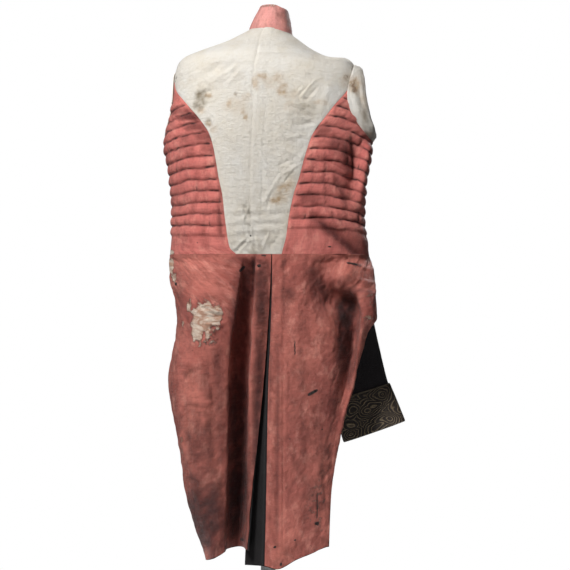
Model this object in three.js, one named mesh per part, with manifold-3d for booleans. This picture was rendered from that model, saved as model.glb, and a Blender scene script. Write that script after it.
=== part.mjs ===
// A tailcoat shown inside out on a display stand, as a three.js scene in millimetres.
//
// The stand's base rests on z = 0 with its pole on the z axis. The coat's back
// faces -Y and +X is its right-hand side as seen from behind. The body of the coat is
// turned inside out, so its lining faces out; the sleeves hang inside the
// body and come out below the waist with their cloth side out.
import * as THREE from "three";
import { mergeVertices } from "three/addons/utils/BufferGeometryUtils.js";
import Module from "manifold-3d";

const wasm = await Module();
wasm.setup();

// ---------------------------------------------------------------- sizes, mm
const SEAM_GAP = 0.3;
const LINING = 1.2; // silk or linen, with its interlining
const CLOTH = 1.8; // fulled wool
const CLOTH_DEPTH = LINING + SEAM_GAP; // how far the wool lies under the lining's face
const COAT_THICKNESS = CLOTH_DEPTH + CLOTH;

const WAIST_Z = 700;
const SHOULDER_TOP_Z = 1137;
const QUILT_HEIGHT = 3.2; // how far a wadded channel stands out
const EDGE_SHOW = 1.6; // wool that shows past the lining at the skirts' edges

// A short table: one row for each section, fold or station, with named columns.
const table = (columns, rows) =>
  rows.map((row) => Object.fromEntries(columns.map((name, i) => [name, row[i]])));

// Horizontal sections of the body. Each side is its own quarter of a superellipse.
const SECTIONS = table(
  ["z", "left", "right", "back", "front", "power"],
  [
    [1137, 28, 32, 34, 30, 2.0],
    [1131, 36, 36, 44, 40, 2.0],
    [1120, 57, 47, 56, 49, 2.05],
    [1111, 75, 59, 63, 55, 2.1],
    [1092, 126, 86, 76, 64, 2.2],
    [1078, 160, 112, 84, 70, 2.25],
    [1064, 173, 146, 90, 77, 2.3],
    [1042, 179, 165, 97, 86, 2.35],
    [1016, 182, 179, 101, 95, 2.4],
    [974, 186, 189, 105, 104, 2.5],
    [928, 196, 196, 107, 110, 2.5],
    [905, 199, 198, 106, 112, 2.5],
    [870, 192, 193, 104, 112, 2.5],
    [830, 187, 186, 101, 109, 2.5],
    [770, 184, 184, 97, 102, 2.5],
    [700, 188, 194, 94, 96, 2.5],
  ],
);

// Where the seams of the back lie: x at each height, right-hand side positive. An x
// past the body's half width lies on the shoulder, round the side.
const SEAMS = table(
  ["z", "centre", "leftBack", "rightBack"],
  [
    [1137, -5, -29, 33],
    [1120, -12, -60, 49],
    [1092, -19, -132, 90],
    [1078, -21, -167, 118],
    [1064, -24, -180, 153],
    [1042, -26, -181, 166],
    [1016, -27, -177, 156],
    [984, -27, -154, 128],
    [957, -28, -131, 107],
    [925, -30, -110, 84],
    [892, -31, -101, 72],
    [845, -33, -93, 59],
    [811, -33, -86, 48],
    [767, -34, -81, 39],
    [731, -33, -76, 34],
    [712, -27, -72, 29],
    [700, -22, -60, 26],
  ],
);

// Quilting: wadded channels on the lining of each front, from under the arm to the waist.
const QUILT = { top: 986, bottom: 733, channels: 13 };
// How far the channels climb from the side towards the back seam, at their top and bottom.
const QUILT_CLIMB = { left: [30, 0], right: [42, 14] };
const FRONT_GAP = { neck: 5, waist: 22 }; // half of the opening at the centre front

// A hollow under the right armhole, where the side folds in and its edge stands back
// out. Angles and widths are degrees round the body, and the rest are millimetres.
const TUCK = {
  crease: { angle: 53, width: 8, depth: 11 },
  flange: { angle: 76, width: 12, reach: 30 },
  bottom: 770,
  fullFrom: 830,
  top: 925,
  fade: 30,
};

const ARMHOLES = {
  right: { side: 1, y: -17, z: 982, halfDepth: 54, halfHeight: 64 },
  left: { side: -1, y: 20, z: 987, halfDepth: 46, halfHeight: 62 },
};
const NECK = { x: 5, y: 18, halfWidth: 42, halfDepth: 62, power: 2.4 };
const COLLAR = {
  height: 46,
  topHalfWidth: 27,
  topHalfDepth: 50,
  topX: 12,
  topY: 22,
  halfOpening: 9, // degrees left open each side of the centre front
};

// The heights at which each fold line's place is given.
const FOLD_HEIGHTS = [700, 655, 610, 580, 550, 460, 360, 240, 120];
// One row for each fold line, from the centre vent to the front edge: x and y at
// those heights, and the height of the hem there.
const FOLD_COLUMNS = ["fold", "x", "y", "hem"];
const LEFT_SKIRT = table(FOLD_COLUMNS, [
  ["vent", [4, 3, 2, 1, -1, -8, -18, -31, -41], [-95, -95, -94, -92, -91, -89, -89, -88, -85], 142],
  ["strip", [-20, -21, -22, -24, -26, -31, -35, -39, -43], [-95, -97, -98, -98, -97, -94, -85, -77, -75], 143],
  ["inner wall", [-27, -30, -34, -37, -40, -44, -46, -49, -52], [-94, -82, -66, -61, -56, -52, -50, -50, -52], 144],
  ["floor", [-34, -39, -46, -50, -53, -59, -61, -63, -64], [-93, -70, -46, -38, -32, -26, -25, -27, -32], 144],
  ["outer wall", [-42, -48, -56, -62, -68, -76, -76, -78, -78], [-92, -74, -60, -57, -56, -60, -60, -58, -56], 141],
  ["ridge", [-54, -58, -62, -66, -71, -78, -78, -81, -84], [-91, -91, -93, -95, -97, -99, -98, -91, -80], 136],
  ["middle", [-101, -106, -112, -116, -120, -129, -127, -116, -99], [-84, -95, -103, -108, -112, -116, -110, -98, -86], 128],
  ["outer", [-154, -156, -157, -158, -160, -169, -161, -141, -110], [-55, -70, -81, -86, -90, -92, -86, -80, -72], 123],
  ["edge", [-190, -188, -176, -173, -175, -190, -173, -155, -117], [-10, -28, -42, -45, -46, -44, -52, -58, -62], 121],
]);
const RIGHT_SKIRT = table(FOLD_COLUMNS, [
  ["vent", [8, 8, 7, 6, 5, 1, -1, -3, -6], [-95, -98, -98, -97, -96, -94, -92, -89, -86], 112],
  ["crease", [29, 29, 29, 29, 28, 26, 25, 23, 21], [-94, -98, -99, -98, -97, -95, -93, -90, -87], 107],
  ["middle", [61, 60, 62, 65, 67, 68, 63, 57, 53], [-90, -98, -98, -98, -98, -97, -94, -90, -87], 124],
  ["brow", [86, 82, 92, 112, 122, 118, 99, 84, 75], [-84, -88, -80, -80, -80, -88, -89, -88, -85], 133],
  ["floor", [110, 106, 132, 151, 157, 145, 117, 99, 87], [-76, -70, -40, -31, -28, -51, -79, -83, -82], 138],
  ["wall", [133, 128, 159, 169, 168, 153, 123, 106, 94], [-66, -84, -48, -45, -44, -54, -74, -80, -80], 142],
  ["ridge", [156, 150, 174, 178, 174, 159, 129, 111, 102], [-52, -96, -93, -90, -81, -59, -70, -78, -79], 145],
  ["flange", [179, 180, 192, 195, 182, 163, 135, 115, 108], [-34, -74, -92, -90, -80, -62, -68, -76, -78], 147],
  ["edge", [194, 204, 205, 207, 189, 166, 139, 119, 114], [-6, -40, -72, -78, -72, -58, -65, -74, -76], 148],
]);
// The vent's underlap, of wool on both faces: its free edge and depth below the waist.
const UNDERLAP = { topX: -20, bottomX: -44, setBack: 26, hem: 116 };

// Sleeves below the armhole: the middle of each ring, its half sizes and the
// direction of its wide side seen from above, in degrees from +X.
const SLEEVE_COLUMNS = ["z", "x", "y", "halfWidth", "halfDepth", "turn"];
const RIGHT_SLEEVE = table(SLEEVE_COLUMNS, [
  [898, 146, -5, 56, 20, 90],
  [800, 140, -1, 57, 18, 90],
  [715, 134, 4, 56, 16, 92],
  [655, 134, 24, 56, 15, 118],
  [600, 141, 38, 57, 15, 154],
  [542, 153, 44, 57, 15, 177],
  [447, 175, 46, 56.5, 16, 180],
  [357, 206, 47, 61, 17, 180],
]);
const LEFT_SLEEVE = table(SLEEVE_COLUMNS, [
  [898, -146, 2, 56, 20, 90],
  [800, -140, 2, 57, 18, 90],
  [715, -134, 8, 56, 16, 88],
  [655, -129, 26, 56, 15, 60],
  [600, -122, 38, 57, 15, 25],
  [542, -115, 42, 57, 15, 3],
  [447, -109, 45, 56.5, 16, 0],
  [358, -104, 47, 60, 17, 0],
]);
const CUFF = { thickness: 2.6, length: 84 };

// The stand: a slim padded form on a pole and a round base.
const FORM = table(
  ["z", "halfWidth", "halfDepth"],
  [
    [702, 92, 72],
    [760, 96, 76],
    [850, 104, 84],
    [930, 108, 90],
    [1000, 114, 88],
    [1045, 126, 80],
    [1100, 130, 74],
    [1133, 126, 70],
  ],
);
const FORM_GAP = 0.4;
const NECK_STUB = { x: 4, y: 16, radius: 20, top: 1138 };
const POLE = { radius: 14, seat: 0.3 };
const BASE = { radius: 165, thickness: 12, hubRadius: 24, hubTop: 34 };

// ---------------------------------------------------------------- curves
const lerp = (a, b, t) => a + (b - a) * t;
const clamp01 = (t) => Math.min(1, Math.max(0, t));
const smooth = (t) => clamp01(t) ** 2 * (3 - 2 * clamp01(t));
const steps = (n) => Array.from({ length: n + 1 }, (_, i) => i / n);
const radians = (degrees) => (degrees * Math.PI) / 180;

// A smooth curve through (xs, ys) that never overshoots between two of its points.
function curveThrough(xs, ys) {
  if (xs[0] > xs[xs.length - 1]) return curveThrough([...xs].reverse(), [...ys].reverse());
  const n = xs.length;
  const slope = xs.slice(1).map((x, i) => (ys[i + 1] - ys[i]) / (x - xs[i]));
  const tangent = xs.map((_, i) => {
    if (i === 0 || i === n - 1) return slope[Math.min(i, n - 2)];
    const [a, b] = [slope[i - 1], slope[i]];
    return a * b <= 0 ? 0 : (2 * a * b) / (a + b);
  });
  return (x) => {
    if (x <= xs[0]) return ys[0];
    if (x >= xs[n - 1]) return ys[n - 1];
    let i = 0;
    while (x > xs[i + 1]) i++;
    const h = xs[i + 1] - xs[i];
    const t = (x - xs[i]) / h;
    const [t2, t3] = [t * t, t * t * t];
    return (
      (2 * t3 - 3 * t2 + 1) * ys[i] +
      (t3 - 2 * t2 + t) * h * tangent[i] +
      (3 * t2 - 2 * t3) * ys[i + 1] +
      (t3 - t2) * h * tangent[i + 1]
    );
  };
}
const column = (rows, name, by = "z") =>
  curveThrough(rows.map((r) => r[by]), rows.map((r) => r[name]));

// A Catmull-Rom curve through values that stand at equal steps of t from 0 to 1.
function through(values, t) {
  const last = values.length - 1;
  const at = clamp01(t) * last;
  const i = Math.min(last - 1, Math.floor(at));
  const f = at - i;
  const [p1, p2] = [values[i], values[i + 1]];
  const p0 = i > 0 ? values[i - 1] : 2 * p1 - p2;
  const p3 = i + 2 <= last ? values[i + 2] : 2 * p2 - p1;
  return 0.5 * (2 * p1 + (p2 - p0) * f + (2 * p0 - 5 * p1 + 4 * p2 - p3) * f ** 2 + (3 * p1 - p0 - 3 * p2 + p3) * f ** 3);
}

// ---------------------------------------------------------------- the body's surface
const section = Object.fromEntries(
  ["left", "right", "back", "front", "power"].map((name) => [name, column(SECTIONS, name)]),
);
const seam = Object.fromEntries(
  ["centre", "leftBack", "rightBack"].map((name) => [name, column(SEAMS, name)]),
);

// How far the tuck moves the body's surface towards its front.
function tuckedBy(angle, z) {
  const { crease, flange } = TUCK;
  const bell = ({ angle: middle, width }) => Math.exp(-(((angle - middle) / width) ** 2));
  const held = smooth((z - TUCK.bottom) / (TUCK.fullFrom - TUCK.bottom)) * smooth((TUCK.top - z) / TUCK.fade);
  return held * (crease.depth * bell(crease) - flange.reach * bell(flange));
}
// The body at an angle round it, 0 at the centre back and 90 at the right side.
function bodyPoint(angle, z) {
  const power = 2 / section.power(z);
  const [s, c] = [Math.sin(radians(angle)), Math.cos(radians(angle))];
  const width = s < 0 ? section.left(z) : section.right(z);
  const depth = c > 0 ? section.back(z) : section.front(z);
  return new THREE.Vector3(
    width * Math.sign(s) * Math.abs(s) ** power,
    -depth * Math.sign(c) * Math.abs(c) ** power + tuckedBy(angle, z),
    z,
  );
}
// The angle of a point of the back that has this x. Past the side it goes on round.
const DEGREES_PAST_SIDE = 60; // for each half width that x lies past the side
function angleAt(x, z) {
  const width = x < 0 ? section.left(z) : section.right(z);
  const reach = Math.abs(x) / width;
  const share = Math.min(1, reach) ** (section.power(z) / 2);
  const past = DEGREES_PAST_SIDE * Math.max(0, reach - 1);
  return Math.sign(x) * ((Math.asin(share) * 180) / Math.PI + past);
}
function bodyNormal(angle, z) {
  const [da, dz] = [0.4, 0.5];
  const round = bodyPoint(angle + da, z).sub(bodyPoint(angle - da, z));
  const up = bodyPoint(angle, z + dz).sub(bodyPoint(angle, z - dz));
  return round.cross(up).normalize();
}
function bodyOffset(angle, z, out) {
  const normal = bodyNormal(angle, z);
  if (z < WAIST_Z + 1) normal.setZ(0).normalize();
  return bodyPoint(angle, z).addScaledVector(normal, out);
}

// How high the body is over a point of the plan, near the shoulders.
function bodyHeight(x, y) {
  let [low, high] = [WAIST_Z + 200, SHOULDER_TOP_Z];
  for (let i = 0; i < 40; i++) {
    const z = (low + high) / 2;
    const power = section.power(z);
    const width = x < 0 ? section.left(z) : section.right(z);
    const depth = y < 0 ? section.back(z) : section.front(z);
    const inside = Math.abs(x / width) ** power + Math.abs(y / depth) ** power < 1;
    [low, high] = inside ? [z, high] : [low, z];
  }
  return (low + high) / 2;
}
// How far out the side of the body is at a depth y and height z.
function sideX(side, y, z) {
  const width = side < 0 ? section.left(z) : section.right(z);
  const depth = y < 0 ? section.back(z) : section.front(z);
  const power = section.power(z);
  return side * width * (1 - Math.min(1, Math.abs(y / depth)) ** power) ** (1 / power);
}

// ---------------------------------------------------------------- solids
const solids = new Map();

function addMesh(name, geometry, material) {
  const mesh = new THREE.Mesh(geometry, material);
  mesh.name = name;
  solids.set(name, mesh);
}

// Collects points and triangles, and closes them into one geometry.
class Shape {
  constructor() {
    this.points = [];
    this.triangles = [];
  }
  add(point) {
    this.points.push(point);
    return this.points.length - 1;
  }
  addGrid(grid) {
    return grid.map((row) => row.map((p) => this.add(p)));
  }
  // Quads between the rows of a grid of indices, wound the other way when flipped.
  skin(grid, flipped, closed = false) {
    for (let j = 0; j + 1 < grid.length; j++) {
      const width = grid[j].length;
      for (let i = 0; i + (closed ? 0 : 1) < width; i++) {
        const k = (i + 1) % width;
        const [a, b, c, d] = [grid[j][i], grid[j][k], grid[j + 1][k], grid[j + 1][i]];
        if (flipped) this.triangles.push(a, c, b, a, d, c);
        else this.triangles.push(a, b, c, a, c, d);
      }
    }
  }
  // How far along a line of indices each of its points lies, from 0 to 1.
  progress(line) {
    const lengths = line.slice(1).map((a, i) => this.points[a].distanceTo(this.points[line[i]]));
    const total = lengths.reduce((sum, length) => sum + length, 0);
    let along = 0;
    return [0, ...lengths.map((length) => (along += length / total))];
  }
  // Triangles between two lines of indices that may have different numbers of points.
  zip(first, second) {
    const [onFirst, onSecond] = [this.progress(first), this.progress(second)];
    let [i, j] = [0, 0];
    while (i < first.length - 1 || j < second.length - 1) {
      const atEnd = j === second.length - 1;
      if (atEnd || (i < first.length - 1 && onFirst[i + 1] <= onSecond[j + 1] + 1e-4)) {
        this.triangles.push(first[i], second[j], first[++i]);
      } else {
        this.triangles.push(first[i], second[j], second[++j]);
      }
    }
  }
  fan(ring, centre, flipped) {
    const hub = this.add(centre);
    ring.forEach((a, i) => {
      const b = ring[(i + 1) % ring.length];
      this.triangles.push(...(flipped ? [hub, b, a] : [hub, a, b]));
    });
  }
  geometry() {
    const flat = this.points.flatMap((p) => [p.x, p.y, p.z]);
    const raw = new THREE.BufferGeometry()
      .setAttribute("position", new THREE.Float32BufferAttribute(flat, 3))
      .setIndex(this.triangles);
    return mergeVertices(raw, 1e-3);
  }
}

// A sheet of cloth between two grids, which may have different numbers of rows.
function wall(outer, inner) {
  const shape = new Shape();
  const [o, n] = [shape.addGrid(outer), shape.addGrid(inner)];
  shape.skin(o, false);
  shape.skin(n, true);
  const side = (grid, i) => grid.map((row) => row.at(i));
  shape.zip(o[0], n[0]);
  shape.zip([...o.at(-1)].reverse(), [...n.at(-1)].reverse());
  shape.zip(side(o, -1), side(n, -1));
  shape.zip(side(o, 0).reverse(), side(n, 0).reverse());
  return shape.geometry();
}

// A tube of cloth between two lists of rings, open at both ends.
function tube(outer, inner) {
  const shape = new Shape();
  const [o, n] = [shape.addGrid(outer), shape.addGrid(inner)];
  shape.skin(o, false, true);
  shape.skin(n, true, true);
  shape.skin([n[0], o[0]], false, true);
  shape.skin([o.at(-1), n.at(-1)], false, true);
  return shape.geometry();
}

// A solid through rings, closed at both ends.
function loft(rings) {
  const shape = new Shape();
  const grid = shape.addGrid(rings);
  const middle = (ring) =>
    ring.reduce((sum, p) => sum.add(p), new THREE.Vector3()).divideScalar(ring.length);
  shape.skin(grid, false, true);
  shape.fan(grid[0], middle(rings[0]), true);
  shape.fan(grid.at(-1), middle(rings.at(-1)), false);
  return shape.geometry();
}

function toManifold(geometry) {
  const bare = geometry.clone();
  bare.deleteAttribute("normal");
  bare.deleteAttribute("uv");
  const merged = mergeVertices(bare, 1e-3);
  return new wasm.Manifold(
    new wasm.Mesh({
      numProp: 3,
      vertProperties: merged.attributes.position.array,
      triVerts: new Uint32Array(merged.index.array),
    }),
  );
}
function fromManifold(solid) {
  const mesh = solid.getMesh();
  return new THREE.BufferGeometry()
    .setAttribute("position", new THREE.Float32BufferAttribute(mesh.vertProperties, 3))
    .setIndex(new THREE.BufferAttribute(mesh.triVerts, 1));
}
const cut = (geometry, cutters) =>
  fromManifold(cutters.reduce((left, c) => left.subtract(c), toManifold(geometry)));

// ---------------------------------------------------------------- cutters
// A prism through the side of the body, which leaves the armhole.
function armholeCutter({ side, y, z, halfDepth, halfHeight }) {
  const outline = new THREE.Shape().absellipse(y, z, halfDepth, halfHeight, 0, 2 * Math.PI);
  const prism = new THREE.ExtrudeGeometry(outline, { depth: 170, bevelEnabled: false, curveSegments: 24 });
  // The outline's x and y become the part's y and z, and the depth runs along x.
  const axes = new THREE.Matrix4().makeBasis(
    new THREE.Vector3(0, 1, 0),
    new THREE.Vector3(0, 0, 1),
    new THREE.Vector3(1, 0, 0),
  );
  prism.applyMatrix4(axes).translate(side > 0 ? 90 : -260, 0, 0);
  return toManifold(prism);
}
const neckPoint = (angle, grow = 0) => {
  const power = 2 / NECK.power;
  const [s, c] = [Math.sin(radians(angle)), Math.cos(radians(angle))];
  return new THREE.Vector2(
    NECK.x + (NECK.halfWidth + grow) * Math.sign(s) * Math.abs(s) ** power,
    NECK.y - (NECK.halfDepth + grow) * Math.sign(c) * Math.abs(c) ** power,
  );
};
function neckCutter() {
  const outline = new THREE.Shape(steps(48).slice(0, -1).map((t) => neckPoint(360 * t)));
  const prism = new THREE.ExtrudeGeometry(outline, { depth: 250, bevelEnabled: false });
  return toManifold(prism.translate(0, 0, 1000));
}

// ---------------------------------------------------------------- materials
const material = (color, roughness, metalness = 0) =>
  new THREE.MeshStandardMaterial({ color, roughness, metalness, side: THREE.DoubleSide });
const SILK = material(0xb86a60, 0.45);
const LINEN = material(0xe2dccf, 0.9);
const WOOL = material(0x17151a, 0.95);
const BRAID = material(0x4a4034, 0.6, 0.3);
const FORM_LINEN = material(0xd8cfbe, 0.9);
const STAND_METAL = material(0x9a9a9a, 0.35, 0.8);

// ---------------------------------------------------------------- the body
const BACK_COLUMNS = 6;
const SIDE_COLUMNS = 4; // from the back seam to the side
const FRONT_COLUMNS = 5; // from the side to the centre front
const SHOULDER_LINES = [1137, 1131, 1121, 1108, 1092, 1076, 1056, 1034, 1011];
const backEdge = { left: seam.leftBack, right: seam.rightBack };

// The lines across the body from its top down, which all its pieces share.
const BODY_LINES = [
  ...SHOULDER_LINES,
  ...steps(QUILT.channels).map((v) => lerp(QUILT.top, QUILT.bottom, v)),
  WAIST_Z,
];
const FIRST_CHANNEL = SHOULDER_LINES.length;

// How high a line that is level at the side climbs, at this angle, towards the back seam.
function climb(hand, angle, z) {
  const [top, bottom] = QUILT_CLIMB[hand];
  const down = clamp01((QUILT.top - z) / (QUILT.top - QUILT.bottom));
  const held = smooth((SHOULDER_TOP_Z - z) / 110) * smooth((z - WAIST_Z) / 33);
  return lerp(top, bottom, down) * held * smooth((95 - Math.abs(angle)) / 75);
}
const linePoint = (hand, angle, z, depth) => bodyOffset(angle, z + climb(hand, angle, z), -depth);

// The angle at which a line crosses one of the back's seams.
function seamAngle(hand, place, z) {
  let angle = angleAt(place(z), z);
  for (let i = 0; i < 6; i++) {
    const height = z + climb(hand, angle, z);
    angle = angleAt(place(height), height);
  }
  return angle;
}
// Moves the two ends of a row inwards, to leave the gaps at its seams.
function trimmed(row) {
  const toward = (end, next) => end.clone().add(next.clone().sub(end).setLength(0.5 * SEAM_GAP));
  return [toward(row[0], row[1]), ...row.slice(1, -1), toward(row.at(-1), row.at(-2))];
}
const facingOut = (hand, row) => (hand === "right" ? [...row].reverse() : row);

// One half of the back, from the centre seam to the side-back seam.
function backGrid(hand, depth) {
  return BODY_LINES.map((z) => {
    const from = seamAngle(hand, seam.centre, z);
    const to = seamAngle(hand, backEdge[hand], z);
    return facingOut(
      hand,
      trimmed(steps(BACK_COLUMNS).map((u) => linePoint(hand, lerp(from, to, u), z, depth))),
    );
  });
}

// One side and front, from the side-back seam to the centre front.
function frontGrid(hand, depth) {
  const side = hand === "left" ? -1 : 1;
  return BODY_LINES.map((z) => {
    const down = clamp01((SHOULDER_TOP_Z - z) / (SHOULDER_TOP_Z - WAIST_Z));
    const gap = lerp(FRONT_GAP.neck, FRONT_GAP.waist, down ** 2);
    const from = seamAngle(hand, backEdge[hand], z);
    const middle = side * Math.max(90, Math.abs(from) + 12);
    const to = side * 180 - angleAt(side * Math.min(gap, 0.8 * section.right(z)), z);
    const angles = [
      ...steps(SIDE_COLUMNS).map((u) => lerp(from, middle, u)),
      ...steps(FRONT_COLUMNS).slice(1).map((u) => lerp(middle, to, u)),
    ];
    return facingOut(hand, trimmed(angles.map((angle) => linePoint(hand, angle, z, depth))));
  });
}
// Adds the crest of each wadded channel between the two lines that hold it down.
function quilted(grid) {
  const rows = [];
  grid.forEach((row, j) => {
    rows.push(row);
    const channel = j - FIRST_CHANNEL;
    if (channel < 0 || channel >= QUILT.channels) return;
    rows.push(
      row.map((p, i) => {
        const next = grid[j + 1][i];
        const crest = p.clone().lerp(next, 0.5);
        if (i === 0 || i === row.length - 1) return crest;
        const across = row[i + 1].clone().sub(row[i - 1]);
        return crest.addScaledVector(across.cross(next.clone().sub(p)).normalize(), QUILT_HEIGHT);
      }),
    );
  });
  return rows;
}

function buildBody() {
  const cutters = [armholeCutter(ARMHOLES.left), armholeCutter(ARMHOLES.right), neckCutter()];
  for (const hand of ["left", "right"]) {
    const back = (depth, thickness) =>
      cut(wall(backGrid(hand, depth), backGrid(hand, depth + thickness)), cutters);
    addMesh("back_lining_" + hand, back(0, LINING), LINEN);
    addMesh("back_shell_" + hand, back(CLOTH_DEPTH, CLOTH), WOOL);
    const lining = wall(quilted(frontGrid(hand, 0)), frontGrid(hand, LINING));
    addMesh("front_lining_" + hand, cut(lining, cutters), SILK);
    const shell = wall(frontGrid(hand, CLOTH_DEPTH), frontGrid(hand, COAT_THICKNESS));
    addMesh("front_shell_" + hand, cut(shell, cutters), WOOL);
  }
}

// ---------------------------------------------------------------- the collar
// A standing collar's surface: t runs from its left end round the back, v from seam to top.
function collarPoint(t, v, depth) {
  const angle = lerp(-180 + COLLAR.halfOpening, 180 - COLLAR.halfOpening, t);
  const foot = neckPoint(angle, -depth);
  const power = 2 / NECK.power;
  const [s, c] = [Math.sin(radians(angle)), Math.cos(radians(angle))];
  const top = new THREE.Vector2(
    COLLAR.topX + (COLLAR.topHalfWidth - depth) * Math.sign(s) * Math.abs(s) ** power,
    COLLAR.topY - (COLLAR.topHalfDepth - depth) * Math.sign(c) * Math.abs(c) ** power,
  );
  const outline = neckPoint(angle);
  const low = bodyHeight(outline.x, outline.y) + SEAM_GAP;
  const plan = foot.lerp(top, v ** 1.3);
  return new THREE.Vector3(plan.x, plan.y, low + COLLAR.height * v);
}
function buildCollar() {
  const layer = (depth) =>
    steps(2).map((v) => steps(18).map((t) => collarPoint(1 - t, 1 - v, depth)));
  addMesh("collar_lining", wall(layer(0), layer(LINING)), SILK);
  addMesh("collar_shell", wall(layer(CLOTH_DEPTH), layer(COAT_THICKNESS)), WOOL);
}

// ---------------------------------------------------------------- the skirts
const SKIRT_GRID = { columns: 18, rows: 12 };

// The face of one skirt: s runs from the vent to the front edge, and t from waist to hem.
function skirtSurface(folds) {
  const lines = folds.map((fold) => ({
    x: curveThrough(FOLD_HEIGHTS, fold.x),
    y: curveThrough(FOLD_HEIGHTS, fold.y),
  }));
  return (s, t) => {
    const hem = through(folds.map((fold) => fold.hem), s);
    const z = lerp(WAIST_Z - SEAM_GAP, hem, t);
    const x = through(lines.map((line) => line.x(z)), s);
    const y = through(lines.map((line) => line.y(z)), s);
    // At the waist the skirt meets the body, and hangs free of it below.
    const held = smooth((z - 668) / (WAIST_Z - 668));
    return new THREE.Vector3(x, lerp(y, bodyPoint(angleAt(x, WAIST_Z), WAIST_Z).y, held), z);
  };
}
function surfaceNormal(surface, s, t, side) {
  const [ds, dt] = [0.012, 0.01];
  const across = surface(Math.min(1, s + ds), t).sub(surface(Math.max(0, s - ds), t));
  const down = surface(s, Math.min(1, t + dt)).sub(surface(s, Math.max(0, t - dt)));
  const normal = across.cross(down).multiplyScalar(-side).normalize();
  return t === 0 ? normal.setZ(0).normalize() : normal;
}
// A layer of a skirt at a depth under its face. Wool shows a little past the lining
// at the front edge and hem, as one more narrow row and column.
function skirtGrid(surface, side, depth, edge) {
  const across = steps(SKIRT_GRID.columns);
  const down = steps(SKIRT_GRID.rows).map((v) => v ** 1.2);
  const grid = down.map((t) => {
    const row = across.map((s) =>
      surface(s, t).addScaledVector(surfaceNormal(surface, s, t, side), -depth),
    );
    if (edge) row.push(row.at(-1).clone().add(row.at(-1).clone().sub(row.at(-2)).setLength(edge)));
    return row;
  });
  if (edge) {
    const [last, before] = [grid.at(-1), grid.at(-2)];
    grid.push(last.map((p, i) => p.clone().add(p.clone().sub(before[i]).setLength(edge))));
  }
  return grid;
}
// The right skirt's wool goes on past the vent as an underlap, behind the left skirt.
function withUnderlap(grid) {
  return grid.map((row) => {
    const first = row[0];
    const down = clamp01((WAIST_Z - first.z) / (WAIST_Z - UNDERLAP.hem));
    const free = lerp(UNDERLAP.topX, UNDERLAP.bottomX, down);
    const flap = [0, 0.5, 0.8].map((u) => {
      const y = first.y + UNDERLAP.setBack * (1 - u) ** 0.6;
      return new THREE.Vector3(lerp(free, first.x, u), y, first.z);
    });
    return [...flap, ...row];
  });
}

function buildSkirts() {
  const left = skirtSurface(LEFT_SKIRT);
  const right = skirtSurface(RIGHT_SKIRT);
  // Rows run from the right to the left, so that the walls face outwards.
  const turned = (grid) => grid.map((row) => [...row].reverse());
  const leftLayer = (depth, edge) => skirtGrid(left, -1, depth, edge);
  const rightLayer = (depth, edge) => skirtGrid(right, 1, depth, edge);
  const flap = (depth) => turned(withUnderlap(rightLayer(depth, EDGE_SHOW)));
  addMesh("skirt_lining_left", wall(leftLayer(0, 0), leftLayer(LINING, 0)), SILK);
  addMesh("skirt_lining_right", wall(turned(rightLayer(0, 0)), turned(rightLayer(LINING, 0))), SILK);
  const leftShell = wall(leftLayer(CLOTH_DEPTH, EDGE_SHOW), leftLayer(COAT_THICKNESS, EDGE_SHOW));
  addMesh("skirt_shell_left", leftShell, WOOL);
  addMesh("skirt_shell_right", wall(flap(CLOTH_DEPTH), flap(COAT_THICKNESS)), WOOL);
}

// ---------------------------------------------------------------- the sleeves
const SLEEVE_SIDES = 12;
const FAN_RINGS = 4;
const SLEEVE_CLEARANCE = 6; // between the sleeves and the body's wool
const LIP = { left: 1, right: 11 }; // how far each lining stands out of its armhole

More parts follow.
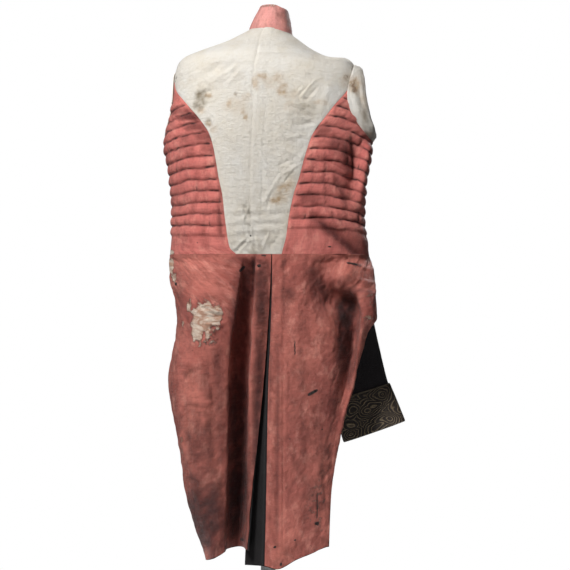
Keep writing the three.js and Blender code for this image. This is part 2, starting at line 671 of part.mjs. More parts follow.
// The rings of one sleeve at a depth under its wool face. They start in the armhole,
// turn down round the underarm as a fan, and go on down the sleeve.
function sleeveRings(armhole, stations, depth, lip) {
  const { side } = armhole;
  const angles = steps(SLEEVE_SIDES).slice(0, -1).map((t) => -2 * Math.PI * t);
  const inset = SEAM_GAP + depth;
  const mouth = (out) =>
    angles.map((a) => {
      const y = armhole.y + side * (armhole.halfDepth - inset) * Math.cos(a);
      const z = armhole.z + (armhole.halfHeight - inset) * Math.sin(a);
      return new THREE.Vector3(sideX(side, y, z) + side * out, y, z);
    });
  // Keeps a point of the sleeve inside the wall of the body.
  const kept = (p) => {
    if (p.z < WAIST_Z) return p;
    const most = Math.abs(sideX(side, p.y, p.z)) - COAT_THICKNESS - SLEEVE_CLEARANCE - 1.6 * inset;
    return p.setX(side * Math.min(Math.abs(p.x), most));
  };
  const first = stations[0];
  const underarm = { x: side * 188, z: armhole.z - armhole.halfHeight };
  const settled = { x: first.x + side * first.halfDepth, z: first.z + 14 };
  const fan = steps(FAN_RINGS).slice(1).map((u) => {
    const turn = radians(90 * u);
    const span = lerp(2 * armhole.halfHeight, 2 * first.halfDepth, u ** 0.7) - 2 * inset;
    const halfWidth = lerp(armhole.halfDepth, first.halfWidth, u) - inset;
    const y = lerp(armhole.y, first.y, u);
    const foot = { x: lerp(underarm.x, settled.x, u), z: lerp(underarm.z, settled.z, u) };
    return angles.map((a) => {
      const along = inset + (span * (1 + Math.sin(a))) / 2;
      return kept(
        new THREE.Vector3(
          foot.x - side * Math.sin(turn) * along,
          y + side * halfWidth * Math.cos(a),
          foot.z + Math.cos(turn) * along,
        ),
      );
    });
  });
  const place = ["x", "y", "halfWidth", "halfDepth", "turn"].map((name) => [name, column(stations, name)]);
  const at = (z) => Object.fromEntries(place.map(([name, f]) => [name, f(z)]));
  const [top, bottom] = [stations[0].z, stations.at(-1).z];
  const heights = steps(7).map((v) => lerp(top, bottom, v));
  const down = heights.map((z) => {
    const here = at(z);
    const [above, below] = [at(Math.min(top, z + 8)), at(Math.max(bottom, z - 8))];
    const fall = new THREE.Vector3(
      below.x - above.x,
      below.y - above.y,
      Math.max(bottom, z - 8) - Math.min(top, z + 8),
    ).normalize();
    const wide = new THREE.Vector3(Math.cos(radians(here.turn)), Math.sin(radians(here.turn)), 0);
    wide.addScaledVector(fall, -wide.dot(fall)).normalize();
    const deep = new THREE.Vector3().crossVectors(wide, fall);
    return angles.map((a) =>
      kept(
        new THREE.Vector3(here.x, here.y, z)
          .addScaledVector(wide, side * (here.halfWidth - depth) * Math.cos(a))
          .addScaledVector(deep, side * (here.halfDepth - depth) * Math.sin(a)),
      ),
    );
  });
  return [mouth(lip), mouth(-9), ...fan, ...down];
}
// The turned-back cuff lies on the last stretch of the sleeve.
function cuffRings(armhole, stations, out) {
  const rings = sleeveRings(armhole, stations, -SEAM_GAP - out, 0);
  return rings.slice(-2);
}

function buildSleeves() {
  const pairs = [["left", LEFT_SLEEVE], ["right", RIGHT_SLEEVE]];
  for (const [hand, stations] of pairs) {
    const armhole = ARMHOLES[hand];
    const rings = (depth, lip) => sleeveRings(armhole, stations, depth, lip);
    const inner = CLOTH + 2 * SEAM_GAP;
    addMesh("sleeve_" + hand, tube(rings(0, 0), rings(CLOTH, 0)), WOOL);
    const lining = (depth) => rings(depth, LIP[hand]).slice(0, FAN_RINGS + 2);
    addMesh("sleeve_lining_" + hand, tube(lining(inner), lining(inner + LINING)), LINEN);
    const cuff = (out) => cuffRings(armhole, stations, out);
    addMesh("cuff_" + hand, tube(cuff(CUFF.thickness), cuff(0)), BRAID);
  }
}

// ---------------------------------------------------------------- the stand
function ellipseRing(z, halfWidth, halfDepth, count, x = 0, y = 0) {
  return steps(count).slice(0, -1).map((t) => {
    const a = 2 * Math.PI * t;
    return new THREE.Vector3(x + halfWidth * Math.cos(a), y + halfDepth * Math.sin(a), z);
  });
}

function buildStand() {
  // The form fills the shoulders of the coat, and is slimmer than the coat below them.
  const depth = COAT_THICKNESS + FORM_GAP;
  const pieces = [frontGrid("right", depth), backGrid("right", depth), backGrid("left", depth), frontGrid("left", depth)];
  const inside = BODY_LINES.map((_, j) => pieces.flatMap((grid) => grid[j]));
  const halfWidth = column(FORM, "halfWidth");
  const halfDepth = column(FORM, "halfDepth");
  const slim = steps(8).map((v) => {
    const z = lerp(FORM[0].z, FORM.at(-1).z, v);
    return ellipseRing(z, halfWidth(z), halfDepth(z), 28, 0, 2);
  });
  const stub = [1100, NECK_STUB.top].map((z) =>
    ellipseRing(z, NECK_STUB.radius, NECK_STUB.radius, 16, NECK_STUB.x, NECK_STUB.y),
  );
  const torso = toManifold(loft([...inside].reverse().map((ring) => [...ring].reverse()))).intersect(toManifold(loft(slim)));
  addMesh("form", fromManifold(torso.add(toManifold(loft(stub)))), FORM_LINEN);

  const lathe = (profile, count) =>
    new THREE.LatheGeometry(profile.map(([r, z]) => new THREE.Vector2(r, z)), count).rotateX(Math.PI / 2);
  const poleProfile = [
    [0, BASE.thickness - 4],
    [POLE.radius, BASE.thickness - 4],
    [POLE.radius, FORM[0].z - POLE.seat],
    [0, FORM[0].z - POLE.seat],
  ];
  addMesh("pole", lathe(poleProfile, 24), STAND_METAL);
  const bore = POLE.radius + SEAM_GAP;
  const baseProfile = [
    [0, 0],
    [BASE.radius - 2, 0],
    [BASE.radius, 2],
    [BASE.radius, BASE.thickness - 3],
    [BASE.radius - 3, BASE.thickness],
    [BASE.hubRadius, BASE.thickness],
    [BASE.hubRadius, BASE.hubTop - 2],
    [BASE.hubRadius - 2, BASE.hubTop],
    [bore, BASE.hubTop],
    [bore, BASE.thickness - 4 - SEAM_GAP],
    [0, BASE.thickness - 4 - SEAM_GAP],
  ];
  addMesh("base", lathe(baseProfile, 40), STAND_METAL);
}

buildBody();
buildCollar();
buildSkirts();
buildSleeves();
buildStand();

const tailcoat = new THREE.Group();
tailcoat.add(...solids.values());
export default tailcoat;
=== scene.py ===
"""A tailcoat shown inside out on a slim form: cloth, materials, light and camera.

Lengths are millimetres, unless a table says otherwise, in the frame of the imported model:
the back of the coat faces -Y, +X is its right-hand side seen from behind, and Z is up.
Meshes are made in millimetres with numpy and handed to Blender in metres.
"""

import math

import bpy
import numpy as np
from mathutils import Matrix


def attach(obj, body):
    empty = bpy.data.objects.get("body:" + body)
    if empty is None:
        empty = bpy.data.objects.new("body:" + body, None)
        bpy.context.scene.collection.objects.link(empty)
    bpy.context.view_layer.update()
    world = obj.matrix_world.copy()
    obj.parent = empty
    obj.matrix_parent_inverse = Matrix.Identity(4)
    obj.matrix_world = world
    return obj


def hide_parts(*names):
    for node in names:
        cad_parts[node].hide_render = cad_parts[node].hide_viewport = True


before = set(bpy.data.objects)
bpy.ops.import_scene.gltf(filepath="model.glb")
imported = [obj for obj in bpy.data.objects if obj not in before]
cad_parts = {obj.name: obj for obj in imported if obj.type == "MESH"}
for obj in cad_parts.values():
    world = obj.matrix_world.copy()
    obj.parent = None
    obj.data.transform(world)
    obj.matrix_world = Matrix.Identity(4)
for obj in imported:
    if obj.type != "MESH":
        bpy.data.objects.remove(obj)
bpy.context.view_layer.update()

# ---------------------------------------------------------------- sizes, as in the part
SEAM_GAP = 0.3
LINING = 1.2
CLOTH = 1.8
CUFF_THICKNESS = 2.6
CLOTH_DEPTH = LINING + SEAM_GAP
COAT_THICKNESS = CLOTH_DEPTH + CLOTH
WAIST_Z = 700.0
SHOULDER_TOP_Z = 1137.0
QUILT_HEIGHT = 3.4
EDGE_SHOW = 1.6
QUILT_TOP, QUILT_BOTTOM, QUILT_CHANNELS = 986.0, 733.0, 13
QUILT_CLIMB = {"left": (30, 0), "right": (42, 14)}
# The climb fades out at the shoulder and the waist, and by so many degrees from the back.
CLIMB_FADE = {"shoulder": 110, "waist": 33, "by": 95, "over": 75}
FRONT_GAP = {"neck": 5, "waist": 22}
DEGREES_PAST_SIDE = 60
# A hollow under the right armhole: degrees round the body, degrees wide, millimetres.
TUCK = {
    "crease": (53, 8, 11),
    "flange": (76, 12, -30),
    "bottom": 770,
    "full_from": 830,
    "top": 925,
    "fade": 30,
}

# One row for each height: the half sizes of the body's section and its squareness.
SECTIONS = {
    "z": [1137, 1131, 1120, 1111, 1092, 1078, 1064, 1042, 1016, 974, 928, 905, 870, 830, 770, 700],
    "left": [28, 36, 57, 75, 126, 160, 173, 179, 182, 186, 196, 199, 192, 187, 184, 188],
    "right": [32, 36, 47, 59, 86, 112, 146, 165, 179, 189, 196, 198, 193, 186, 184, 194],
    "back": [34, 44, 56, 63, 76, 84, 90, 97, 101, 105, 107, 106, 104, 101, 97, 94],
    "front": [30, 40, 49, 55, 64, 70, 77, 86, 95, 104, 110, 112, 112, 109, 102, 96],
    "power": [2, 2, 2.05, 2.1, 2.2, 2.25, 2.3, 2.35, 2.4, 2.5, 2.5, 2.5, 2.5, 2.5, 2.5, 2.5],
}
SEAMS = {
    "z": [1137, 1120, 1092, 1078, 1064, 1042, 1016, 984, 957, 925, 892, 845, 811, 767, 731, 712, 700],
    "centre": [-5, -12, -19, -21, -24, -26, -27, -27, -28, -30, -31, -33, -33, -34, -33, -27, -22],
    "left": [-29, -60, -132, -167, -180, -181, -177, -154, -131, -110, -101, -93, -86, -81, -76, -72, -60],
    "right": [33, 49, 90, 118, 153, 166, 156, 128, 107, 84, 72, 59, 48, 39, 34, 29, 26],
}
ARMHOLES = {
    "right": dict(side=1, y=-17, z=982, half_depth=54, half_height=64),
    "left": dict(side=-1, y=20, z=987, half_depth=46, half_height=62),
}
NECK = dict(x=5, y=18, half_width=42, half_depth=62, power=2.4)
COLLAR = dict(height=46, top_width=27, top_depth=50, top_x=12, top_y=22, opening=9)

FOLD_HEIGHTS = [700, 655, 610, 580, 550, 460, 360, 240, 120]
# One row for each fold line, from the vent to the front edge: x and y at those heights, hem.
LEFT_SKIRT = [
    ([6.5, 5, 3, 1, -1, -8, -18, -31, -41], [-95, -95, -94, -92, -91, -89, -89, -88, -85], 142),
    ([-20, -22, -24, -27, -29, -34, -37, -40, -43], [-95, -97, -98, -98, -97, -94, -85, -77, -75], 143),
    ([-22, -21, -21, -23, -25, -31, -35, -41, -48], [-94, -78, -66, -61, -56, -52, -50, -50, -52], 144),
    ([-28, -28, -30, -33, -36, -42, -46, -52, -58], [-93, -64, -46, -38, -32, -26, -25, -27, -32], 144),
    ([-42, -48, -56, -62, -68, -76, -76, -78, -78], [-92, -74, -60, -57, -56, -60, -60, -58, -56], 141),
    ([-54, -58, -62, -66, -71, -78, -78, -81, -84], [-91, -91, -93, -95, -97, -99, -98, -91, -80], 136),
    (
        [-101, -106, -112, -116, -120, -129, -127, -116, -99],
        [-84, -95, -103, -108, -112, -116, -110, -98, -86],
        128,
    ),
    (
        [-154, -156, -157, -158, -160, -169, -161, -141, -110],
        [-55, -70, -81, -86, -90, -92, -86, -80, -72],
        123,
    ),
    (
        [-190, -188, -176, -173, -175, -190, -173, -155, -117],
        [-10, -28, -42, -45, -46, -44, -52, -58, -62],
        121,
    ),
]
RIGHT_SKIRT = [
    ([8, 8, 7, 6, 5, 1, -1, -3, -6], [-95, -98, -98, -97, -96, -94, -92, -89, -86], 112),
    ([29, 29, 29, 29, 28, 26, 25, 23, 21], [-94, -98, -99, -98, -97, -95, -93, -90, -87], 107),
    ([61, 60, 62, 65, 67, 68, 63, 57, 53], [-90, -98, -98, -98, -98, -97, -94, -90, -87], 124),
    ([86, 82, 92, 112, 122, 118, 99, 84, 75], [-84, -88, -80, -80, -80, -88, -89, -88, -85], 133),
    ([110, 106, 134, 157, 162, 147, 117, 99, 87], [-76, -70, -40, -31, -28, -51, -79, -83, -82], 138),
    ([133, 128, 165, 175, 173, 154, 123, 106, 94], [-66, -84, -50, -46, -44, -54, -74, -80, -80], 142),
    ([156, 150, 174, 178, 174, 159, 129, 111, 102], [-52, -96, -93, -90, -81, -59, -70, -78, -79], 145),
    ([179, 180, 192, 195, 182, 163, 135, 115, 108], [-34, -74, -92, -90, -80, -62, -68, -76, -78], 147),
    ([194, 204, 205, 207, 189, 166, 139, 119, 114], [-6, -40, -72, -78, -72, -58, -65, -74, -76], 148),
]
UNDERLAP = dict(top_x=-16, bottom_x=-44, set_back=26, hem=116)

# For each kind of piece: its thickness, its material, its slot, the node it stands in for and
# what it rests on.
KINDS = {
    "linen_back": (LINING, "linen", "back_linen", "back_lining", "form"),
    "quilted_side": (LINING, "side", "side_silk", "front_lining", "form"),
    "wool_back": (CLOTH, "wool", "coat_wool", "back_shell", "form"),
    "wool_front": (CLOTH, "wool", "coat_wool", "front_shell", "form"),
    "silk_skirt": (LINING, "tail", "tail_silk", "skirt_lining", "quilted_side"),
    "wool_skirt": (CLOTH, "wool", "coat_wool", "skirt_shell", "wool_front"),
    "silk_collar": (LINING, "collar", "collar_silk", "collar_lining", "form"),
    "wool_collar": (CLOTH, "wool", "coat_wool", "collar_shell", "form"),
    "sleeve_cloth": (CLOTH, "sleeve_wool", "coat_wool", "sleeve", "wool_front"),
    "sleeve_linen": (LINING, "linen", "sleeve_linen", "sleeve_lining", "wool_front"),
    "embroidered_cuff": (CUFF_THICKNESS, "cuff", "cuff_embroidery", "cuff", "sleeve_cloth"),
}
# How each piece was cut: its flat width, length and area in metres.
CUTS = {
    "linen_back": {"left": (0.207, 0.52, 0.048), "right": (0.228, 0.52, 0.058)},
    "quilted_side": {"left": (0.41, 0.52, 0.135), "right": (0.445, 0.52, 0.143)},
    "wool_back": {"left": (0.207, 0.52, 0.048), "right": (0.228, 0.52, 0.057)},
    "wool_front": {"left": (0.395, 0.52, 0.127), "right": (0.44, 0.52, 0.136)},
    "silk_skirt": {"left": (0.34, 0.60, 0.154), "right": (0.29, 0.63, 0.109)},
    "wool_skirt": {"left": (0.34, 0.60, 0.155), "right": (0.33, 0.63, 0.134)},
    "silk_collar": {"": (0.37, 0.05, 0.0148)},
    "wool_collar": {"": (0.37, 0.05, 0.0142)},
    "sleeve_cloth": {"left": (0.355, 0.70, 0.163), "right": (0.375, 0.70, 0.166)},
    "sleeve_linen": {"left": (0.355, 0.70, 0.157), "right": (0.39, 0.74, 0.168)},
    "embroidered_cuff": {"left": (0.268, 0.078, 0.0209), "right": (0.272, 0.082, 0.0223)},
}

# One row for each height of a sleeve: its middle, half sizes and the turn of its wide side.
SLEEVES = {
    "right": {
        "z": [898, 800, 715, 655, 600, 542, 447, 357],
        "x": [146, 140, 134, 134, 141, 153, 175, 206],
        "y": [-5, -1, 4, 24, 38, 44, 46, 47],
        "half_width": [56, 57, 56, 56, 57, 57, 56.5, 61],
        "half_depth": [20, 18, 16, 15, 15, 15, 16, 17],
        "turn": [90, 90, 92, 118, 154, 177, 180, 180],
    },
    "left": {
        "z": [898, 800, 715, 655, 600, 542, 447, 358],
        "x": [-146, -140, -134, -129, -122, -115, -109, -104],
        "y": [2, 2, 8, 26, 38, 42, 45, 47],
        "half_width": [56, 57, 56, 56, 57, 57, 56.5, 60],
        "half_depth": [20, 18, 16, 15, 15, 15, 16, 17],
        "turn": [90, 90, 88, 60, 25, 3, 0, 0],
    },
}
SLEEVE_CLEARANCE = 6

PIXEL = 1.9  # millimetres of the coat to one pixel of the picture
MIDDLE_PX, FOOT_PX, FOOT_Z = 268, 570, 100  # the pixels where x is 0 and where z is FOOT_Z


def spot(px, py):
    """The x and z of the coat that shows at a pixel of the picture."""
    return (px - MIDDLE_PX) * PIXEL, FOOT_Z + (FOOT_PX - py) * PIXEL


# ---------------------------------------------------------------- folds, wear, stains and painted shade, as in the photo
# The cloth's soft creases. Each row is a line's two ends, x0, y0, x1 and y1, and its half width,
# in the picture's pixels, and how many millimetres it stands out or, below 0, lies in.
CREASES = {
    "back": [
        (237, 61, 224, 74, 2.2, -1.3), (239, 66, 230, 73, 1.8, 1.1), (220, 65, 211, 76, 2, -1.3),
        (207, 83, 198, 90, 2, -1.4), (245, 69, 228, 86, 2.4, 1.1), (216, 60, 203, 72, 3, 1.0),
        (193, 92, 236, 70, 5, 1.4), (188, 80, 222, 58, 4, 1.0), (200, 96, 212, 92, 1.3, -1.5),
        (201, 113, 206, 106, 1.5, -1.4), (197, 104, 204, 109, 2, 1.2), (209, 124, 214, 118, 1.5, -1.2),
        (259, 40, 256, 60, 1.2, -0.7), (296, 97, 306, 86, 1.0, 1.2), (300, 100, 316, 80, 1.1, 1.3),
        (304, 104, 318, 88, 1.1, -1.2), (295, 93, 301, 101, 1.1, -1.4), (304, 99, 311, 105, 1.1, -1.4),
        (288, 108, 304, 112, 1.4, -1.2), (292, 118, 312, 121, 1.5, 1.1), (296, 128, 313, 124, 1.4, -1.1),
        (290, 125, 300, 138, 1.6, 1.0), (284, 140, 306, 136, 1.5, 0.9), (306, 74, 328, 92, 3, -0.9),
        (330, 85, 318, 118, 4, 0.8), (282, 150, 302, 160, 1.4, 0.8), (276, 168, 297, 158, 1.3, -0.9),
        (281, 176, 299, 166, 1.2, 0.9), (284, 184, 296, 170, 1.2, -1.0), (275, 125, 300, 180, 4, 0.8),
        (262, 150, 272, 205, 3, 0.7), (272, 192, 266, 214, 1.6, -0.8), (281, 176, 262, 206, 2, 0.8),
        (244, 205, 248, 222, 2.2, -1.6), (243, 222, 250, 206, 1.2, 0.9), (226, 212, 288, 209, 1.3, 0.8),
        (226, 217, 288, 214, 1.0, -0.8), (227, 222, 288, 219, 1.2, 0.8), (227, 227, 287, 224, 1.0, -0.8),
        (228, 232, 287, 229, 1.2, 0.8), (229, 237, 286, 234, 1.0, -0.8), (230, 242, 285, 239, 1.2, 0.8),
        (232, 252, 248, 236, 1.4, 1.4), (236, 252, 247, 243, 1.2, -1.2), (240, 251, 251, 240, 1.2, 1.1),
        (256, 250, 254, 226, 1.5, -1.3), (262, 251, 270, 232, 1.4, 1.1), (268, 250, 280, 236, 1.6, -0.9),
        (250, 250, 244, 228, 1.6, -1.1), (205, 110, 240, 150, 5, 0.9), (228, 150, 240, 200, 4, 0.6),
    ],
    "side": [
        (351, 134, 353, 182, 1.6, -3.0), (357, 134, 359, 178, 3, 1.5), (333, 176, 345, 208, 2, -2.2),
        (339, 172, 352, 200, 3, 1.4), (308, 213, 370, 262, 6, -7.0), (322, 212, 372, 246, 5, 3.0),
        (300, 226, 352, 262, 6, 2.5), (324, 146, 325, 214, 0.8, -0.8), (312, 126, 328, 138, 2.5, -1.8),
        (318, 152, 346, 166, 1.4, 1.6), (320, 158, 344, 172, 1.4, -1.8), (330, 236, 350, 244, 3, 1.2),
        (176, 244, 226, 246, 2.5, 0.8), (196, 236, 224, 250, 3, 0.8), (175, 150, 178, 215, 2, -0.6),
        (219, 200, 224, 236, 1.6, -2.0), (226, 205, 229, 238, 2, 1.2),
    ],
    "left": [
        (186, 300, 224, 312, 3, 1.6), (198, 304, 222, 318, 1.6, -2.6), (206, 310, 222, 312, 1.3, 2.8),
        (205, 317, 222, 316, 1.2, -2.4), (206, 323, 221, 325, 1.4, 2.8), (207, 329, 218, 326, 1.3, -2.4),
        (210, 333, 226, 322, 1.6, 2.6), (201, 342, 212, 336, 1.4, 1.6), (213, 342, 220, 340, 1.4, -1.5),
        (192, 290, 198, 340, 2.2, 1.2), (180, 262, 184, 300, 2, 1.0), (168, 258, 178, 282, 2, 1.4),
        (176, 340, 186, 430, 4, 2.2), (180, 433, 193, 473, 2.0, 2.2), (186, 430, 198, 476, 3, -1.8),
        (179, 366, 196, 372, 2.4, -2.4), (181, 360, 200, 364, 2.0, 1.4), (190, 372, 212, 366, 3, -1.2),
        (209, 384, 211, 406, 1.8, 1.8), (213, 382, 215, 408, 2, -1.2), (187, 404, 217, 408, 1.6, -1.6),
        (187, 400, 216, 401, 2.0, 1.2), (196, 412, 214, 420, 2.0, -1.0), (194, 452, 208, 464, 1.6, -1.4),
        (196, 440, 214, 452, 2.0, 1.0), (188, 476, 200, 482, 2.0, -2.2), (191, 484, 200, 498, 2.4, 1.6),
        (196, 345, 210, 450, 6, 1.8), (212, 350, 218, 470, 4, -1.4), (190, 440, 206, 540, 5, 1.6),
        (216, 470, 222, 545, 4, 1.2), (205, 265, 222, 285, 3, 1.4), (196, 270, 216, 262, 2, 1.2),
        (214, 284, 232, 292, 1.8, -1.4), (222, 262, 232, 290, 2, 1.2), (240, 262, 252, 258, 1.6, -1.2),
        (262, 262, 258, 300, 2, 0.8), (256, 350, 262, 420, 2, 0.8),
    ],
    "right": [
        (283.5, 258, 283, 566, 0.9, -0.9), (281, 262, 280.5, 566, 1.4, 0.9),
        (276, 330, 276, 556, 1.8, -0.9), (290, 270, 288, 470, 1.4, -0.7), (280, 286, 296, 302, 2, -1.2),
        (284, 302, 300, 312, 1.6, 1.0), (298, 300, 312, 338, 1.4, -0.9), (295, 338, 295, 356, 0.7, -1.6),
        (297, 360, 300, 374, 1, 1.0), (309, 264, 334, 296, 2.5, 2.6), (312, 284, 331, 312, 3, -2.0),
        (334, 286, 356, 294, 2.5, 2.8), (340, 262, 374, 270, 2, 1.6), (352, 284, 374, 290, 1.6, -2.0),
        (350, 278, 376, 284, 2, 2.0), (358, 300, 372, 318, 2.5, 1.8), (330, 256, 352, 260, 1.6, -1.0),
        (310, 300, 326, 380, 5, 1.4), (300, 350, 326, 430, 5, -1.2), (268, 395, 282, 398, 1.4, 1.1),
        (332, 396, 344, 401, 1.4, 1.4), (303, 404, 306, 470, 3, -1.1), (310, 396, 316, 450, 2.5, 1.0),
        (296, 420, 316, 500, 4, 1.2), (317, 486, 317, 520, 0.7, -1.2), (312, 430, 330, 540, 4, 1.4),
        (324, 470, 328, 540, 2, -1.4), (275, 545, 290, 520, 2.5, 1.4), (275, 545, 284, 556, 2, -1.4),
        (275, 545, 268, 520, 2.5, 1.2), (280, 548, 296, 556, 1.6, 1.4), (276, 552, 280, 566, 1.2, -1.2),
        (310, 526, 326, 520, 1.6, 1.1),
    ],
}
